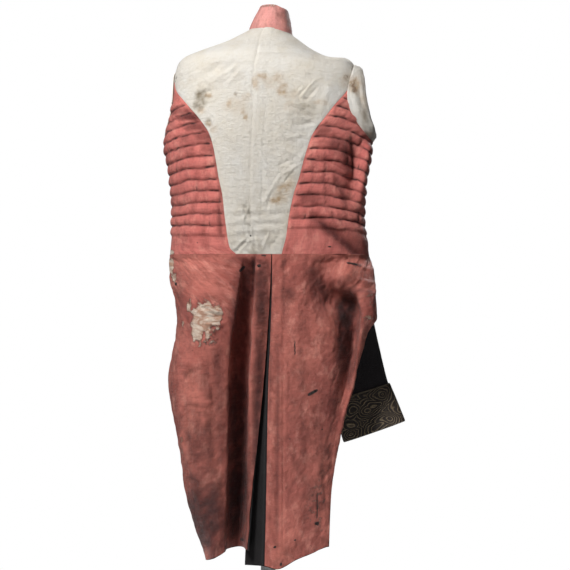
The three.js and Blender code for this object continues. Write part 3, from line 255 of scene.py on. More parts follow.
# The cloth's marks, of strengths up to about 1. A row of five is a patch: x, y, half width, half
# height and strength. A row of six is a streak or a slit: x0, y0, x1, y1, half width, strength.
# The soil rows, and the stain rows in the sides' and skirts' deep valleys, darken creases,
# valleys and hollows: they are painted shade, mixed with some real dust and stains.
MARKS = {
    "back": {
        "stain_and_shade": [
            (262, 79, 7, 4, 0.7), (256, 84, 4, 8, 0.55), (279, 80, 6, 6, 0.5), (283, 92, 6, 7, 0.75),
            (272, 86, 8, 6, 0.3), (290, 96, 10, 5, 0.3), (230, 106, 3, 5, 0.6), (243, 113, 3, 4, 0.8),
            (246, 119, 2.5, 3, 0.8), (247, 99, 5, 5, 0.45), (236, 108, 12, 8, 0.25),
            (209, 97, 4, 2.5, 0.75), (202, 111, 4, 4, 0.6), (209, 125, 3, 3, 0.9), (215, 131, 4, 4, 0.7),
            (276, 201, 6, 5, 0.75), (286, 190, 8, 6, 0.8), (292, 184, 6, 6, 0.55), (282, 197, 9, 6, 0.4),
            (321, 104, 7, 3, 0.6), (290, 108, 7, 6, 0.3), (348, 82, 8, 8, 0.45),
        ],
        # Painted shade in the wrinkles by the left armhole, on the right side turned from the light and by
        # the waist, with some dust.
        "soil_and_shade": [
            (306, 112, 12, 10, 0.6), (298, 122, 12, 14, 0.45), (288, 134, 12, 16, 0.25),
            (202, 98, 6, 8, 1.0), (198, 106, 5, 6, 0.9), (209, 124, 4, 4, 0.8), (248, 214, 4, 18, 0.7),
            (255, 240, 34, 14, 0.38), (257, 250, 8, 8, 0.9), (292, 176, 8, 4, 0.5),
            (268, 150, 45, 60, 0.14), (268, 205, 34, 30, 0.2), (230, 66, 12, 8, 0.15),
        ],
        "spot": [
            (352, 90, 4, 6, 0.9), (346, 78, 3, 3, 0.6), (236, 96, 2, 2, 0.6),
        ],
    },
    "side": {
        # The two patches on the right lie in its shaded hollow and diagonal fold: painted shade with
        # staining.
        "stain_and_shade": [
            (180, 200, 8, 20, 0.3), (355, 240, 12, 10, 0.35), (330, 150, 10, 30, 0.2),
        ],
        # Painted shade in the right side's hollow and diagonal fold, and on the channels by the left seam.
        "soil_and_shade": [
            (322, 132, 11, 6, 0.55), (338, 146, 12, 7, 0.6), (310, 199, 11, 7, 0.6),
            (352, 250, 10, 8, 0.3), (193, 118, 15, 5, 1.0), (199, 128, 14, 5, 0.85),
            (205, 138, 11, 5, 0.7), (190, 140, 12, 5, 0.4), (210, 149, 8, 5, 0.5),
            (182, 112, 12, 4, 0.6), (187, 150, 9, 5, 0.35), (311, 216, 368, 262, 5.5, 0.95),
            (316, 222, 372, 268, 3, 0.9), (350, 136, 353, 182, 3, 1.0), (343, 142, 348, 176, 5, 0.8),
            (334, 174, 346, 208, 2.5, 0.7), (304, 140, 302, 184, 2, 0.5), (324, 146, 325, 214, 0.7, 0.6),
            (312, 150, 312, 214, 0.6, 0.35), (306, 192, 322, 200, 4, 0.6),
            (219, 204, 222, 240, 2.2, 0.6), (210, 118, 226, 232, 1.5, 0.35),
        ],
        "spot": [
            (329, 247, 2, 1.2, 1.0), (198, 243, 1.2, 1, 0.9),
        ],
        "wear": [
            (169, 254, 6, 5, 0.8), (330, 139, 5, 2, 0.35),
        ],
    },
    "left": {
        # The long patches down the valley, the strip by the vent and the tail's lower part are painted
        # shade with staining; the small ones are stains.
        "stain_and_shade": [
            (239, 490, 12, 80, 0.7), (205, 440, 22, 60, 0.45), (205, 500, 26, 50, 0.6),
            (216, 530, 22, 24, 0.7), (190, 372, 7, 5, 0.6), (208, 368, 7, 12, 0.3),
            (202, 404, 14, 4, 0.45), (190, 478, 5, 5, 0.6), (214, 298, 14, 5, 0.4),
            (184, 300, 10, 30, 0.3), (262, 268, 9, 12, 0.8), (262, 300, 8, 60, 0.75),
            (258, 400, 7, 70, 0.55), (252, 480, 7, 60, 0.6),
        ],
        # Painted shade down the deep valley and the strip by the vent, and over the tail's dark lower
        # part.
        "soil_and_shade": [
            (241, 330, 10, 50, 0.8), (239, 420, 11, 80, 0.95), (238, 500, 12, 60, 1.0),
            (206, 520, 24, 44, 0.95), (204, 450, 16, 40, 0.35), (254, 254, 252, 300, 2.5, 1.0),
            (250, 262, 246, 330, 5, 0.8), (247, 262, 241, 330, 4, 0.8), (262, 262, 262, 330, 6, 0.75),
            (260, 330, 256, 480, 5, 0.9), (218, 330, 222, 470, 6, 0.5), (226, 262, 246, 256, 3, 0.4),
            (206, 366, 209, 400, 4, 0.4),
        ],
        "spot": [
            (259.5, 266, 2.4, 2.0, 1.0), (264, 256, 3, 1.2, 0.9), (176, 284, 1.5, 2, 1.0),
            (207, 342, 1.6, 1.2, 0.8), (194, 350, 1, 1, 0.8), (210, 372, 1, 1, 0.8),
            (242, 540, 2.2, 1.8, 0.9), (239.5, 272, 245.5, 266, 1.4, 1.3),
        ],
        "wear": [
            (205, 318, 12, 20, 0.95), (216, 316, 9, 13, 0.9), (199, 328, 7, 17, 0.9),
            (190, 306, 3, 9, 0.7), (184, 324, 2, 5, 0.55), (211, 342, 9, 4, 0.5), (170, 266, 4, 10, 0.9),
            (174, 278, 3, 6, 0.7), (182, 444, 3, 22, 0.35),
        ],
    },
    "right": {
        # The patch in the deep valley near the top is painted shade; the rest are stains.
        "stain_and_shade": [
            (346, 326, 12, 46, 0.9), (326, 480, 7, 40, 0.75), (311, 430, 9, 26, 0.5),
            (302, 460, 12, 50, 0.35), (312, 505, 14, 40, 0.45), (300, 400, 26, 60, 0.25),
            (292, 548, 14, 10, 0.45), (328, 540, 8, 12, 0.7), (282, 560, 10, 6, 0.5),
            (318, 270, 10, 5, 0.3), (284, 262, 3, 14, 0.6), (287, 295, 9, 10, 0.4),
            (310, 395, 6, 5, 0.5),
        ],
        # Painted shade in the tail's valleys and along its creases.
        "soil_and_shade": [
            (347, 314, 11, 26, 1.0), (346, 350, 9, 34, 0.9), (289, 294, 8, 7, 0.4),
            (309, 266, 330, 306, 6, 0.75), (314, 272, 322, 320, 6, 0.5), (335, 296, 344, 330, 5, 0.6),
            (278, 330, 277, 556, 2.2, 0.55), (271, 262, 270, 420, 1.6, 0.45),
            (284, 260, 284, 330, 1.4, 0.4), (300, 330, 304, 480, 3, 0.3), (324, 380, 318, 470, 4, 0.3),
            (352, 264, 362, 266, 1.5, 0.9), (350, 290, 374, 292, 1.6, 0.5),
        ],
        "spot": [
            (317, 522, 2.6, 2.2, 1.0), (275, 545, 1.8, 1.6, 1.0), (295, 538, 1.6, 1.4, 0.9),
            (322, 428, 1.4, 1.2, 0.8), (290, 438, 1.2, 1.2, 0.8), (330, 541, 3, 2, 0.7),
            (281, 562, 1.6, 2.6, 0.8), (311, 544, 2, 1.2, 0.6), (307, 394.5, 318, 388.5, 1.5, 1.3),
            (294.5, 338, 295, 356, 0.9, 1.0), (317, 488, 317, 520, 0.8, 0.85),
            (345, 262.5, 359, 265, 1.1, 1.1),
        ],
        "wear": [
            (316, 505, 12, 36, 0.35), (370, 300, 6, 14, 0.35), (368, 318, 7, 4, 0.5),
        ],
    },
    "collar": {"stain_and_shade": [(282, 14, 6, 6, 0.4)], "wear": [(270, 4, 12, 2, 0.5)]},
    "mouth": {
        "stain_and_shade": [
            (354, 86, 6, 10, 0.9), (361, 80, 6, 8, 0.5), (363, 104, 4, 16, 0.4), (368, 134, 5, 3, 0.6),
        ],
        "soil_and_shade": [
            (358, 100, 2, 10, 0.6), (364, 120, 2.5, 12, 0.6), (366, 96, 2, 30, 0.5),
        ],
        "spot": [
            (352, 84, 3, 5, 0.95), (354, 91, 2.5, 4, 0.8), (366, 132, 2, 1.5, 0.8),
        ],
    },
}


# ---------------------------------------------------------------- curves and noise
def smooth(t):
    """A soft step from 0 to 1."""
    t = np.clip(t, 0, 1)
    return t * t * (3 - 2 * t)


def curve_through(xs, ys):
    """A smooth curve through points that never overshoots between two of them."""
    order = np.argsort(xs)
    xs, ys = np.asarray(xs, float)[order], np.asarray(ys, float)[order]
    slope = np.diff(ys) / np.diff(xs)
    tangent = np.concatenate(([slope[0]], np.zeros(len(xs) - 2), [slope[-1]]))
    both = slope[:-1] * slope[1:]
    level = both <= 0
    total = np.where(level, 1, slope[:-1] + slope[1:])
    tangent[1:-1] = np.where(level, 0, 2 * both / total)

    def at(x):
        x = np.clip(x, xs[0], xs[-1])
        i = np.clip(np.searchsorted(xs, x, side="right") - 1, 0, len(xs) - 2)
        h = xs[i + 1] - xs[i]
        t = (x - xs[i]) / h
        return (
            (2 * t**3 - 3 * t**2 + 1) * ys[i]
            + (t**3 - 2 * t**2 + t) * h * tangent[i]
            + (3 * t**2 - 2 * t**3) * ys[i + 1]
            + (t**3 - t**2) * h * tangent[i + 1]
        )

    return at


def through(values, t, paired=False):
    """A Catmull-Rom curve through values, spaced evenly from t = 0 to 1 along the first axis.

    When paired, the values' second axis runs along t, and each t takes its own.
    """
    last = len(values) - 1
    at = np.clip(t, 0, 1) * last
    i = np.minimum(last - 1, np.floor(at).astype(int))
    padded = np.concatenate(([2 * values[0] - values[1]], values, [2 * values[-1] - values[-2]]))
    if paired:
        p0, p1, p2, p3 = (padded[i + k, np.arange(len(t))] for k in range(4))
    else:
        p0, p1, p2, p3 = (padded[i + k] for k in range(4))
    f = (at - i).reshape(-1, *([1] * (p0.ndim - 1)))
    return 0.5 * (
        2 * p1
        + (p2 - p0) * f
        + (2 * p0 - 5 * p1 + 4 * p2 - p3) * f**2
        + (3 * p1 - p0 - 3 * p2 + p3) * f**3
    )


def lattice(ix, iy, seed):
    """A repeatable random number from 0 to 1 for each whole-numbered place."""
    n = (ix * 374761393 + iy * 668265263 + seed * 974634777) & 0x7FFFFFFF
    n = ((n ^ (n >> 13)) * 1274126177) & 0x7FFFFFFF
    n = ((n ^ (n >> 16)) * 668265263) & 0x7FFFFFFF
    return (n & 0xFFFFFF) / float(0xFFFFFF)


def noise(u, v, seed=0):
    """Smooth noise from -1 to 1, with features about one unit across."""
    iu, iv = np.floor(u).astype(np.int64), np.floor(v).astype(np.int64)
    fu, fv = smooth(u - iu), smooth(v - iv)
    low = lattice(iu, iv, seed) * (1 - fu) + lattice(iu + 1, iv, seed) * fu
    high = lattice(iu, iv + 1, seed) * (1 - fu) + lattice(iu + 1, iv + 1, seed) * fu
    return 2 * (low * (1 - fv) + high * fv) - 1


def layered(u, v, seed=0, layers=4):
    """Noise with finer noise laid over it, about -1 to 1."""
    return sum(noise(u * 2**k, v * 2**k, seed + k) * 0.5**k for k in range(layers)) / 1.8


# ---------------------------------------------------------------- the body's surface
section = {k: curve_through(SECTIONS["z"], SECTIONS[k]) for k in SECTIONS if k != "z"}
seam = {k: curve_through(SEAMS["z"], SEAMS[k]) for k in SEAMS if k != "z"}


def rounded(v, power):
    """A sine or cosine made squarer by a power."""
    return np.sign(v) * np.abs(v) ** power


def bell(x, middle, width, reach):
    return reach * np.exp(-(((x - middle) / width) ** 2))


def tucked_by(angle, z):
    """How far the tuck moves the body's surface towards its front."""
    held = smooth((z - TUCK["bottom"]) / (TUCK["full_from"] - TUCK["bottom"]))
    held = held * smooth((TUCK["top"] - z) / TUCK["fade"])
    return held * (bell(angle, *TUCK["crease"]) + bell(angle, *TUCK["flange"]))


def body_point(angle, z):
    """The body at degrees round it, 0 at the centre back and 90 at the right side."""
    a = np.radians(angle)
    power = 2 / section["power"](z)
    s, c = np.sin(a), np.cos(a)
    width = np.where(s < 0, section["left"](z), section["right"](z))
    depth = np.where(c > 0, section["back"](z), section["front"](z))
    x = width * rounded(s, power)
    y = -depth * rounded(c, power) + tucked_by(angle, z)
    return np.stack([x, y, z * np.ones_like(x)], -1)


def angle_at(x, z):
    """The angle of a point of the back that has this x. Past the side it goes on round."""
    width = np.where(x < 0, section["left"](z), section["right"](z))
    reach = np.abs(x) / width
    share = np.minimum(1, reach) ** (section["power"](z) / 2)
    return np.sign(x) * (np.degrees(np.arcsin(share)) + DEGREES_PAST_SIDE * np.maximum(0, reach - 1))


def unit(v):
    return v / np.maximum(1e-9, np.linalg.norm(v, axis=-1, keepdims=True))


def body_normal(angle, z):
    """The way the body faces, kept level at the waist."""
    around = body_point(angle + 0.4, z) - body_point(angle - 0.4, z)
    up = body_point(angle, z + 0.5) - body_point(angle, z - 0.5)
    normal = np.cross(around, up)
    normal[..., 2] = np.where(z < WAIST_Z + 1, 0, normal[..., 2])
    return unit(normal)


def body_height(x, y):
    """How high the body is over a point of the plan, near the shoulders."""
    low, high = np.full_like(x, WAIST_Z + 200), np.full_like(x, SHOULDER_TOP_Z)
    for _ in range(40):
        z = (low + high) / 2
        power = section["power"](z)
        width = np.where(x < 0, section["left"](z), section["right"](z))
        depth = np.where(y < 0, section["back"](z), section["front"](z))
        inside = np.abs(x / width) ** power + np.abs(y / depth) ** power < 1
        low, high = np.where(inside, z, low), np.where(inside, high, z)
    return (low + high) / 2


def side_x(side, y, z):
    """The x of one side of the body over a point of the coat's length and depth."""
    width = section["left" if side < 0 else "right"](z)
    depth = np.where(y < 0, section["back"](z), section["front"](z))
    power = section["power"](z)
    return side * width * (1 - np.minimum(1, np.abs(y / depth)) ** power) ** (1 / power)


def climb(hand, angle, z):
    """How high a line that is level at the side climbs towards the back seam."""
    top, bottom = QUILT_CLIMB[hand]
    down = np.clip((QUILT_TOP - z) / (QUILT_TOP - QUILT_BOTTOM), 0, 1)
    held = smooth((SHOULDER_TOP_Z - z) / CLIMB_FADE["shoulder"])
    held = held * smooth((z - WAIST_Z) / CLIMB_FADE["waist"])
    held = held * smooth((CLIMB_FADE["by"] - np.abs(angle)) / CLIMB_FADE["over"])
    return (top + (bottom - top) * down) * held


def seam_angle(hand, place, z):
    """Where a seam crosses a line that climbs on its way to it."""
    angle = angle_at(place(z), z)
    for _ in range(6):
        height = z + climb(hand, angle, z)
        angle = angle_at(place(height), height)
    return angle


# ---------------------------------------------------------------- meshes
class Cloth:
    """A grid of points with its flat coordinates, and faces that may be cut away."""

    def __init__(self, points, flat, closed=False):
        rows, columns = points.shape[:2]
        self.shape = (rows, columns)
        self.points = points.reshape(-1, 3)
        self.flat = flat.reshape(-1, 2)
        self.across, self.fall = self.flat.T
        self.width = flat[..., 0].max(1).repeat(columns)
        index = np.arange(rows * columns).reshape(rows, columns)
        if closed:
            index = np.concatenate([index, index[:, :1]], axis=1)
        a, b, c, d = index[:-1, :-1], index[:-1, 1:], index[1:, 1:], index[1:, :-1]
        self.faces = np.stack([a, b, c, d], -1).reshape(-1, 4)
        self.marks = {}

    def normals(self):
        p = self.points[self.faces]
        facing = np.cross(p[:, 2] - p[:, 0], p[:, 3] - p[:, 1]).repeat(4, axis=0)
        count = len(self.points)
        total = [np.bincount(self.faces.ravel(), facing[:, k], count) for k in range(3)]
        return unit(np.stack(total, -1))

    def from_ends(self):
        """How far each point is from the nearer end of its line."""
        return np.minimum(self.across, self.width - self.across)

    def push(self, amount):
        """Moves the points out along their normals by millimetres."""
        self.points = self.points + self.normals() * np.asarray(amount)[:, None]

    def cut(self, inside, snap):
        """Cuts a hole: drops faces inside it and moves the edge's points to its outline."""
        self.faces = self.faces[~inside[self.faces].all(1)]
        edge = np.unique(self.faces)
        edge = edge[inside[edge]]
        self.points[edge] = snap(self.points[edge])


def thickened(cloth, thickness):
    """The points and faces of a closed wall: the cloth, its inner face and its rim."""
    count = len(cloth.points)
    inner = cloth.points - cloth.normals() * thickness
    faces = cloth.faces
    starts, ends = faces.ravel(), np.roll(faces, -1, axis=1).ravel()
    forward = starts.astype(np.int64) * count + ends
    backward = ends.astype(np.int64) * count + starts
    rim = ~np.isin(forward, backward)
    a, b = starts[rim], ends[rim]
    sides = np.stack([b, a, a + count, b + count], -1)
    every = np.concatenate([faces, faces[:, ::-1] + count, sides])
    return np.concatenate([cloth.points, inner]), every, (a, b, count)


def make(kind, hand, cloth):
    """A closed wall of cloth as a Blender object, smooth but for its cut edges.

    The collar has no left and right, and its hand is an empty text.
    """
    thickness, material, slot, node, under = KINDS[kind]
    ending = "_" + hand if hand else ""
    name = kind + ending
    points, faces, (rim_a, rim_b, count) = thickened(cloth, thickness)
    used, index = np.unique(faces, return_inverse=True)
    faces = index.reshape(faces.shape)
    mesh = bpy.data.meshes.new(name)
    mesh.vertices.add(len(used))
    mesh.vertices.foreach_set("co", (points[used] / 1000).astype(np.float32).ravel())
    mesh.loops.add(faces.size)
    mesh.loops.foreach_set("vertex_index", faces.astype(np.int32).ravel())
    mesh.polygons.add(len(faces))
    mesh.polygons.foreach_set("loop_start", np.arange(0, faces.size, 4, dtype=np.int32))
    mesh.update(calc_edges=True)
    mesh.validate()
    mesh.polygons.foreach_set("use_smooth", np.ones(len(mesh.polygons), bool))

    rim = np.zeros(len(points), bool)
    rim[np.concatenate([rim_a, rim_b, rim_a + count, rim_b + count])] = True
    rim = rim[used]
    inner = used >= count
    ends = np.empty(len(mesh.edges) * 2, np.int32)
    mesh.edges.foreach_get("vertices", ends)
    ends = ends.reshape(-1, 2)
    sharp = rim[ends].all(1) & (inner[ends[:, 0]] == inner[ends[:, 1]])
    mesh.edges.foreach_set("use_edge_sharp", sharp)

    flat = np.concatenate([cloth.flat, cloth.flat])[used] / 1000
    layer = mesh.attributes.new("cloth", "FLOAT_VECTOR", "POINT")
    layer.data.foreach_set("vector", np.c_[flat, np.zeros(len(flat))].astype(np.float32).ravel())
    for mark, values in cloth.marks.items():
        doubled = np.concatenate([values, values])[used]
        layer = mesh.attributes.new(mark, "FLOAT", "POINT")
        layer.data.foreach_set("value", doubled.astype(np.float32))
    obj = bpy.data.objects.new(name, mesh)
    bpy.context.collection.objects.link(obj)
    mesh.materials.append(MATERIALS[material])
    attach(obj, "root")
    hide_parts(node + ending)
    width, length, area = CUTS[kind][hand]


# ---------------------------------------------------------------- materials
def linear(r, g, b):
    """A colour given as 0 to 255 in sRGB, as Blender's linear colour."""
    part = lambda c: c / 12.92 if c <= 0.04045 else ((c + 0.055) / 1.055) ** 2.4
    return (part(r / 255), part(g / 255), part(b / 255), 1)


class Shader:
    """A material's nodes, with short calls for the ones used here."""

    def __init__(self, name, roughness=0.8, metallic=0.0, specular=0.3, sheen=0.0):
        self.material = bpy.data.materials.new(name)
        self.material.use_nodes = True
        self.tree = self.material.node_tree
        self.surface = self.tree.nodes["Principled BSDF"]
        self.surface.inputs["Roughness"].default_value = roughness
        self.surface.inputs["Metallic"].default_value = metallic
        self.surface.inputs["Specular IOR Level"].default_value = specular
        self.surface.inputs["Sheen Weight"].default_value = sheen
        self.surface.inputs["Sheen Roughness"].default_value = 0.5
        self.cloth = self.attribute("cloth", "Vector")
        split = self.node("ShaderNodeSeparateXYZ", Vector=self.cloth)
        self.across, self.down, _ = split.outputs

    def node(self, kind, **inputs):
        made = self.tree.nodes.new(kind)
        for name, value in inputs.items():
            self.feed(made.inputs[name], value)
        return made

    def feed(self, socket, value):
        if isinstance(value, bpy.types.NodeSocket):
            self.tree.links.new(value, socket)
        else:
            socket.default_value = value

    def attribute(self, name, output="Fac"):
        made = self.tree.nodes.new("ShaderNodeAttribute")
        made.attribute_name = name
        return made.outputs[output]

    def math(self, operation, a, b=0.0):
        made = self.tree.nodes.new("ShaderNodeMath")
        made.operation = operation
        self.feed(made.inputs[0], a)
        self.feed(made.inputs[1], b)
        return made.outputs[0]

    def stretched(self, across, down):
        """The cloth's flat coordinates, scaled to so many features a metre each way."""
        made = self.node("ShaderNodeMapping", Vector=self.cloth)
        made.inputs["Scale"].default_value = (across, down, 0)
        return made.outputs[0]

    def noise(self, across, down=None, detail=3.0, rough=0.55, distort=0.0):
        vector = self.stretched(across, across if down is None else down)
        made = self.node("ShaderNodeTexNoise", Vector=vector, Scale=1.0, Detail=detail)
        made.inputs["Roughness"].default_value = rough
        made.inputs["Distortion"].default_value = distort
        return made.outputs["Fac"]

    def place(self):
        """A solid's own coordinates, in metres."""
        return self.node("ShaderNodeTexCoord").outputs["Object"]

    def solid_noise(self, scale, detail, vector=None):
        vector = vector or self.place()
        made = self.node("ShaderNodeTexNoise", Vector=vector, Scale=scale, Detail=detail)
        return made.outputs["Fac"]

    def ramp(self, value, low, high, to_low=0.0, to_high=1.0):
        made = self.node("ShaderNodeMapRange", Value=value)
        made.clamp = True
        limits = {"From Min": low, "From Max": high, "To Min": to_low, "To Max": to_high}
        for name, number in limits.items():
            made.inputs[name].default_value = number
        return made.outputs[0]

    def mix(self, share, a, b, how="MIX"):
        made = self.tree.nodes.new("ShaderNodeMix")
        made.data_type = "RGBA"
        made.blend_type = how
        made.clamp_factor = True
        # An RGBA mix keeps its colours in the sockets 6, 7 and 2.
        self.feed(made.inputs[0], share)
        self.feed(made.inputs[6], a)
        self.feed(made.inputs[7], b)
        return made.outputs[2]

    def tint(self, colour, share, strength, towards, how="MULTIPLY"):
        """Moves a colour by a share of a strength."""
        return self.mix(self.math("MULTIPLY", share, strength), colour, towards, how)

    def bump(self, height, distance, normal=None):
        made = self.node("ShaderNodeBump", Height=height)
        made.inputs["Distance"].default_value = distance
        if normal is not None:
            self.tree.links.new(normal, made.inputs["Normal"])
        return made.outputs["Normal"]

    def finish(self, colour, normal=None, roughness=None):
        self.feed(self.surface.inputs["Base Color"], colour)
        if normal is not None:
            self.tree.links.new(normal, self.surface.inputs["Normal"])
        if roughness is not None:
            self.tree.links.new(roughness, self.surface.inputs["Roughness"])
        return self.material


def weave(shader, thread_mm, slub=0.5):
    """The height of a plain weave with uneven threads."""
    count = 1000 / thread_mm
    warp = shader.math("SINE", shader.math("MULTIPLY", shader.across, count * 2 * math.pi))
    weft = shader.math("SINE", shader.math("MULTIPLY", shader.down, count * 2 * math.pi))
    cross = shader.math("MULTIPLY", warp, weft)
    streaks = shader.math("ADD", shader.noise(40, count, 2), shader.noise(count, 40, 2))
    return shader.math("ADD", cross, shader.math("MULTIPLY", streaks, 4 * slub))


def silk(name, light, dark, worn, roughness):
    """Rose silk with slubs, faded and grimy patches, bare worn places, stains and dust, and painted shade
    in its creases, valleys and quilting grooves.
    """
    sh = Shader(name, roughness, specular=0.4, sheen=0.08)
    fade = sh.ramp(sh.noise(9, 5, 5, 0.6), 0.35, 0.68)
    colour = sh.mix(fade, dark, light)
    colour = sh.tint(colour, sh.ramp(sh.noise(30, 900, 3), 0.35, 0.7), 0.22, dark)
    grime = sh.ramp(sh.noise(55, 30, 6, 0.72), 0.45, 0.7)
    colour = sh.tint(colour, grime, 0.55, linear(126, 90, 78))
    pale = sh.ramp(sh.noise(38, 22, 6, 0.7), 0.52, 0.75)
    colour = sh.tint(colour, pale, 0.6, linear(240, 168, 150), "MIX")
    # Where the silk is worn through, its frayed edge is dark and its bare threads are pale.
    wear = sh.attribute("wear")
    frayed = sh.math("ADD", wear, sh.ramp(sh.noise(140, 90, 5, 0.7), 0.2, 0.8, -0.45, 0.45))
    bare = sh.math("MULTIPLY", sh.ramp(frayed, 0.42, 0.6), sh.ramp(wear, 0.02, 0.2))
    tatters = sh.ramp(sh.noise(46, 90, 6, 0.7, 0.6), 0.42, 0.62)
    threads = sh.mix(tatters, worn, linear(232, 216, 198))
    strands = sh.ramp(sh.noise(40, 900, 4), 0.45, 0.7, 0, 0.4)
    colour = sh.mix(bare, colour, sh.mix(strands, threads, linear(150, 96, 78)))
    rim = sh.math("MULTIPLY", sh.ramp(frayed, 0.36, 0.44), sh.ramp(frayed, 0.56, 0.46))
    rim = sh.math("MULTIPLY", rim, sh.ramp(wear, 0.02, 0.2, 0, 0.6))
    colour = sh.mix(rim, colour, linear(122, 62, 54))
    # Stains; the stain patches that lie in the deep valleys of the sides and skirts are painted shade.
    blotches = sh.ramp(sh.noise(45, 45, 5), 0.3, 0.6)
    colour = sh.tint(colour, sh.attribute("stain_and_shade"), blotches, linear(120, 84, 58))
    colour = sh.mix(sh.ramp(sh.attribute("spot"), 0.4, 0.7), colour, linear(36, 24, 22))
    # Painted shade in the creases, valleys and hollows, mixed with some real dust, from the soil marks.
    soil_and_shade_breakup = sh.ramp(sh.noise(50, 50, 5), 0.1, 0.55, 0.5, 1)
    colour = sh.tint(colour, sh.attribute("soil_and_shade"), soil_and_shade_breakup, linear(112, 66, 62))
    # Painted shade in the quilting's grooves and under each channel's full foot: a darker band and a
    # near-black line along the stitching.
    groove_shade = sh.attribute("groove_shade")
    colour = sh.tint(colour, sh.ramp(groove_shade, 0.05, 0.8), 0.55, linear(118, 58, 54), "MIX")
    colour = sh.tint(colour, sh.ramp(groove_shade, 0.5, 0.9), 0.95, linear(46, 20, 20), "MIX")
    relief = sh.bump(weave(sh, 0.55), 0.00012)
    relief = sh.bump(sh.noise(90, 130, 6, 0.62), 0.002, relief)
    relief = sh.bump(sh.math("MULTIPLY", bare, sh.noise(70, 160, 6, 0.7, 1.0)), 0.004, relief)
    shine = sh.ramp(sh.noise(25, 300, 4), 0.3, 0.7, roughness - 0.08, roughness + 0.15)
    return sh.finish(colour, relief, shine)


def linen(name):
    """Cream linen with uneven threads, yellowed mottling, foxing and brown stains, and painted shade with
    some dust in its wrinkles and hollows.
    """
    sh = Shader(name, 0.9, specular=0.2, sheen=0.1)
    fade = sh.ramp(sh.noise(12, 8, 5, 0.6), 0.35, 0.7)
    colour = sh.mix(fade, linear(226, 218, 204), linear(234, 231, 225))
    mottled = sh.ramp(sh.noise(32, 32, 6, 0.68), 0.5, 0.72)
    colour = sh.tint(colour, mottled, 0.35, linear(206, 192, 166), "MIX")
    slubs = sh.math("MAXIMUM", sh.noise(18, 1100, 3), sh.noise(1100, 18, 3))
    colour = sh.mix(sh.ramp(slubs, 0.52, 0.8, 0, 0.22), colour, linear(186, 172, 150))
    foxing = sh.ramp(sh.noise(210, 210, 3, 0.6), 0.7, 0.78)
    colour = sh.tint(colour, foxing, 0.35, linear(170, 140, 100), "MIX")
    # Painted shade in the wrinkles, on the side turned from the light and by the waist, with some dust,
    # from the soil marks.
    soil_and_shade_breakup = sh.ramp(sh.noise(60, 60, 5), 0.2, 0.7)
    colour = sh.tint(colour, sh.attribute("soil_and_shade"), soil_and_shade_breakup, linear(138, 126, 106))
    blotches = sh.ramp(sh.noise(50, 50, 6, 0.65), 0.3, 0.62)
    colour = sh.tint(colour, sh.attribute("stain_and_shade"), blotches, linear(196, 158, 104))
    flecks = sh.ramp(sh.noise(150, 150, 4), 0.3, 0.55)
    colour = sh.tint(colour, sh.attribute("spot"), flecks, linear(130, 98, 62))
    relief = sh.bump(weave(sh, 0.8, 0.8), 0.0002)
    return sh.finish(colour, sh.bump(sh.noise(110, 150, 6, 0.62), 0.0022, relief))


def wool(name, base, flecks):
    """Felted wool with paler flecks, a little dust and a soft nap."""
    sh = Shader(name, 0.95, specular=0.15, sheen=0.2)
    colour = sh.mix(sh.ramp(sh.noise(500, 500, 5, 0.7), 0.35, 0.75), base, flecks)
    dusty = sh.ramp(sh.noise(14, 9, 5), 0.5, 0.8)
    colour = sh.tint(colour, dusty, 0.12, linear(74, 68, 68), "MIX")
    nap = sh.bump(sh.noise(900, 700, 4, 0.8), 0.0004)
    return sh.finish(colour, sh.bump(sh.noise(60, 40, 4), 0.001, nap))


def embroidery(name):
    """Dark wool worked all over with scrolled lines of dulled bronze thread, and a painted highlight along
    the top edge.
    """
    sh = Shader(name, 0.7, specular=0.3)
    warp = sh.node("ShaderNodeTexNoise", Vector=sh.stretched(26, 26), Scale=1.0, Detail=1.0)
    bent = sh.node("ShaderNodeVectorMath")
    bent.operation = "MULTIPLY_ADD"
    sh.feed(bent.inputs[0], warp.outputs["Color"])
    bent.inputs[1].default_value = (1.1, 1.1, 0)
    sh.feed(bent.inputs[2], sh.stretched(34, 34))
    cells = sh.node("ShaderNodeTexVoronoi", Vector=bent.outputs[0], Scale=1.0)
    rings = sh.math("FRACT", sh.math("MULTIPLY", cells.outputs["Distance"], 7.5))
    cord = sh.math("MULTIPLY", sh.math("ABSOLUTE", sh.math("SUBTRACT", rings, 0.5)), 2)
    line = sh.ramp(cord, 0.5, 0.1)
    twist = sh.ramp(sh.noise(900, 900, 2), 0.3, 0.7, 0.6, 1)
    thread = sh.mix(sh.noise(120, 120, 3), linear(178, 158, 128), linear(124, 108, 90))
    ground = sh.mix(sh.noise(600, 600, 4), linear(46, 40, 38), linear(70, 62, 57))
    colour = sh.mix(sh.math("MULTIPLY", line, twist), ground, thread)
    # A painted highlight along the cuff's top edge.
    colour = sh.mix(sh.ramp(sh.attribute("edge"), 0.4, 0.8), colour, linear(120, 108, 92))
    relief = sh.bump(line, 0.0012)
    return sh.finish(colour, sh.bump(sh.noise(1100, 1100, 3), 0.0004, relief))


def canvas(name):
    """Unbleached canvas for the form."""
    sh = Shader(name, 0.9, specular=0.2)
    tone = sh.solid_noise(18, 5)
    threads = sh.solid_noise(900, 2)
    colour = sh.mix(tone, linear(196, 184, 162), linear(216, 206, 186))
    return sh.finish(colour, sh.bump(threads, 0.0005))


def steel(name):
    """Brushed steel with smudges, for the stand."""
    sh = Shader(name, 0.42, metallic=0.85, specular=0.5)
    brushed = sh.node("ShaderNodeMapping", Vector=sh.place())
    brushed.inputs["Scale"].default_value = (400, 400, 12)
    grain = sh.solid_noise(1, 3, brushed.outputs[0])
    smudge = sh.solid_noise(14, 4)
    colour = sh.mix(smudge, linear(150, 150, 150), linear(178, 178, 176))
    return sh.finish(colour, sh.bump(grain, 0.0002), sh.ramp(smudge, 0.3, 0.7, 0.36, 0.52))


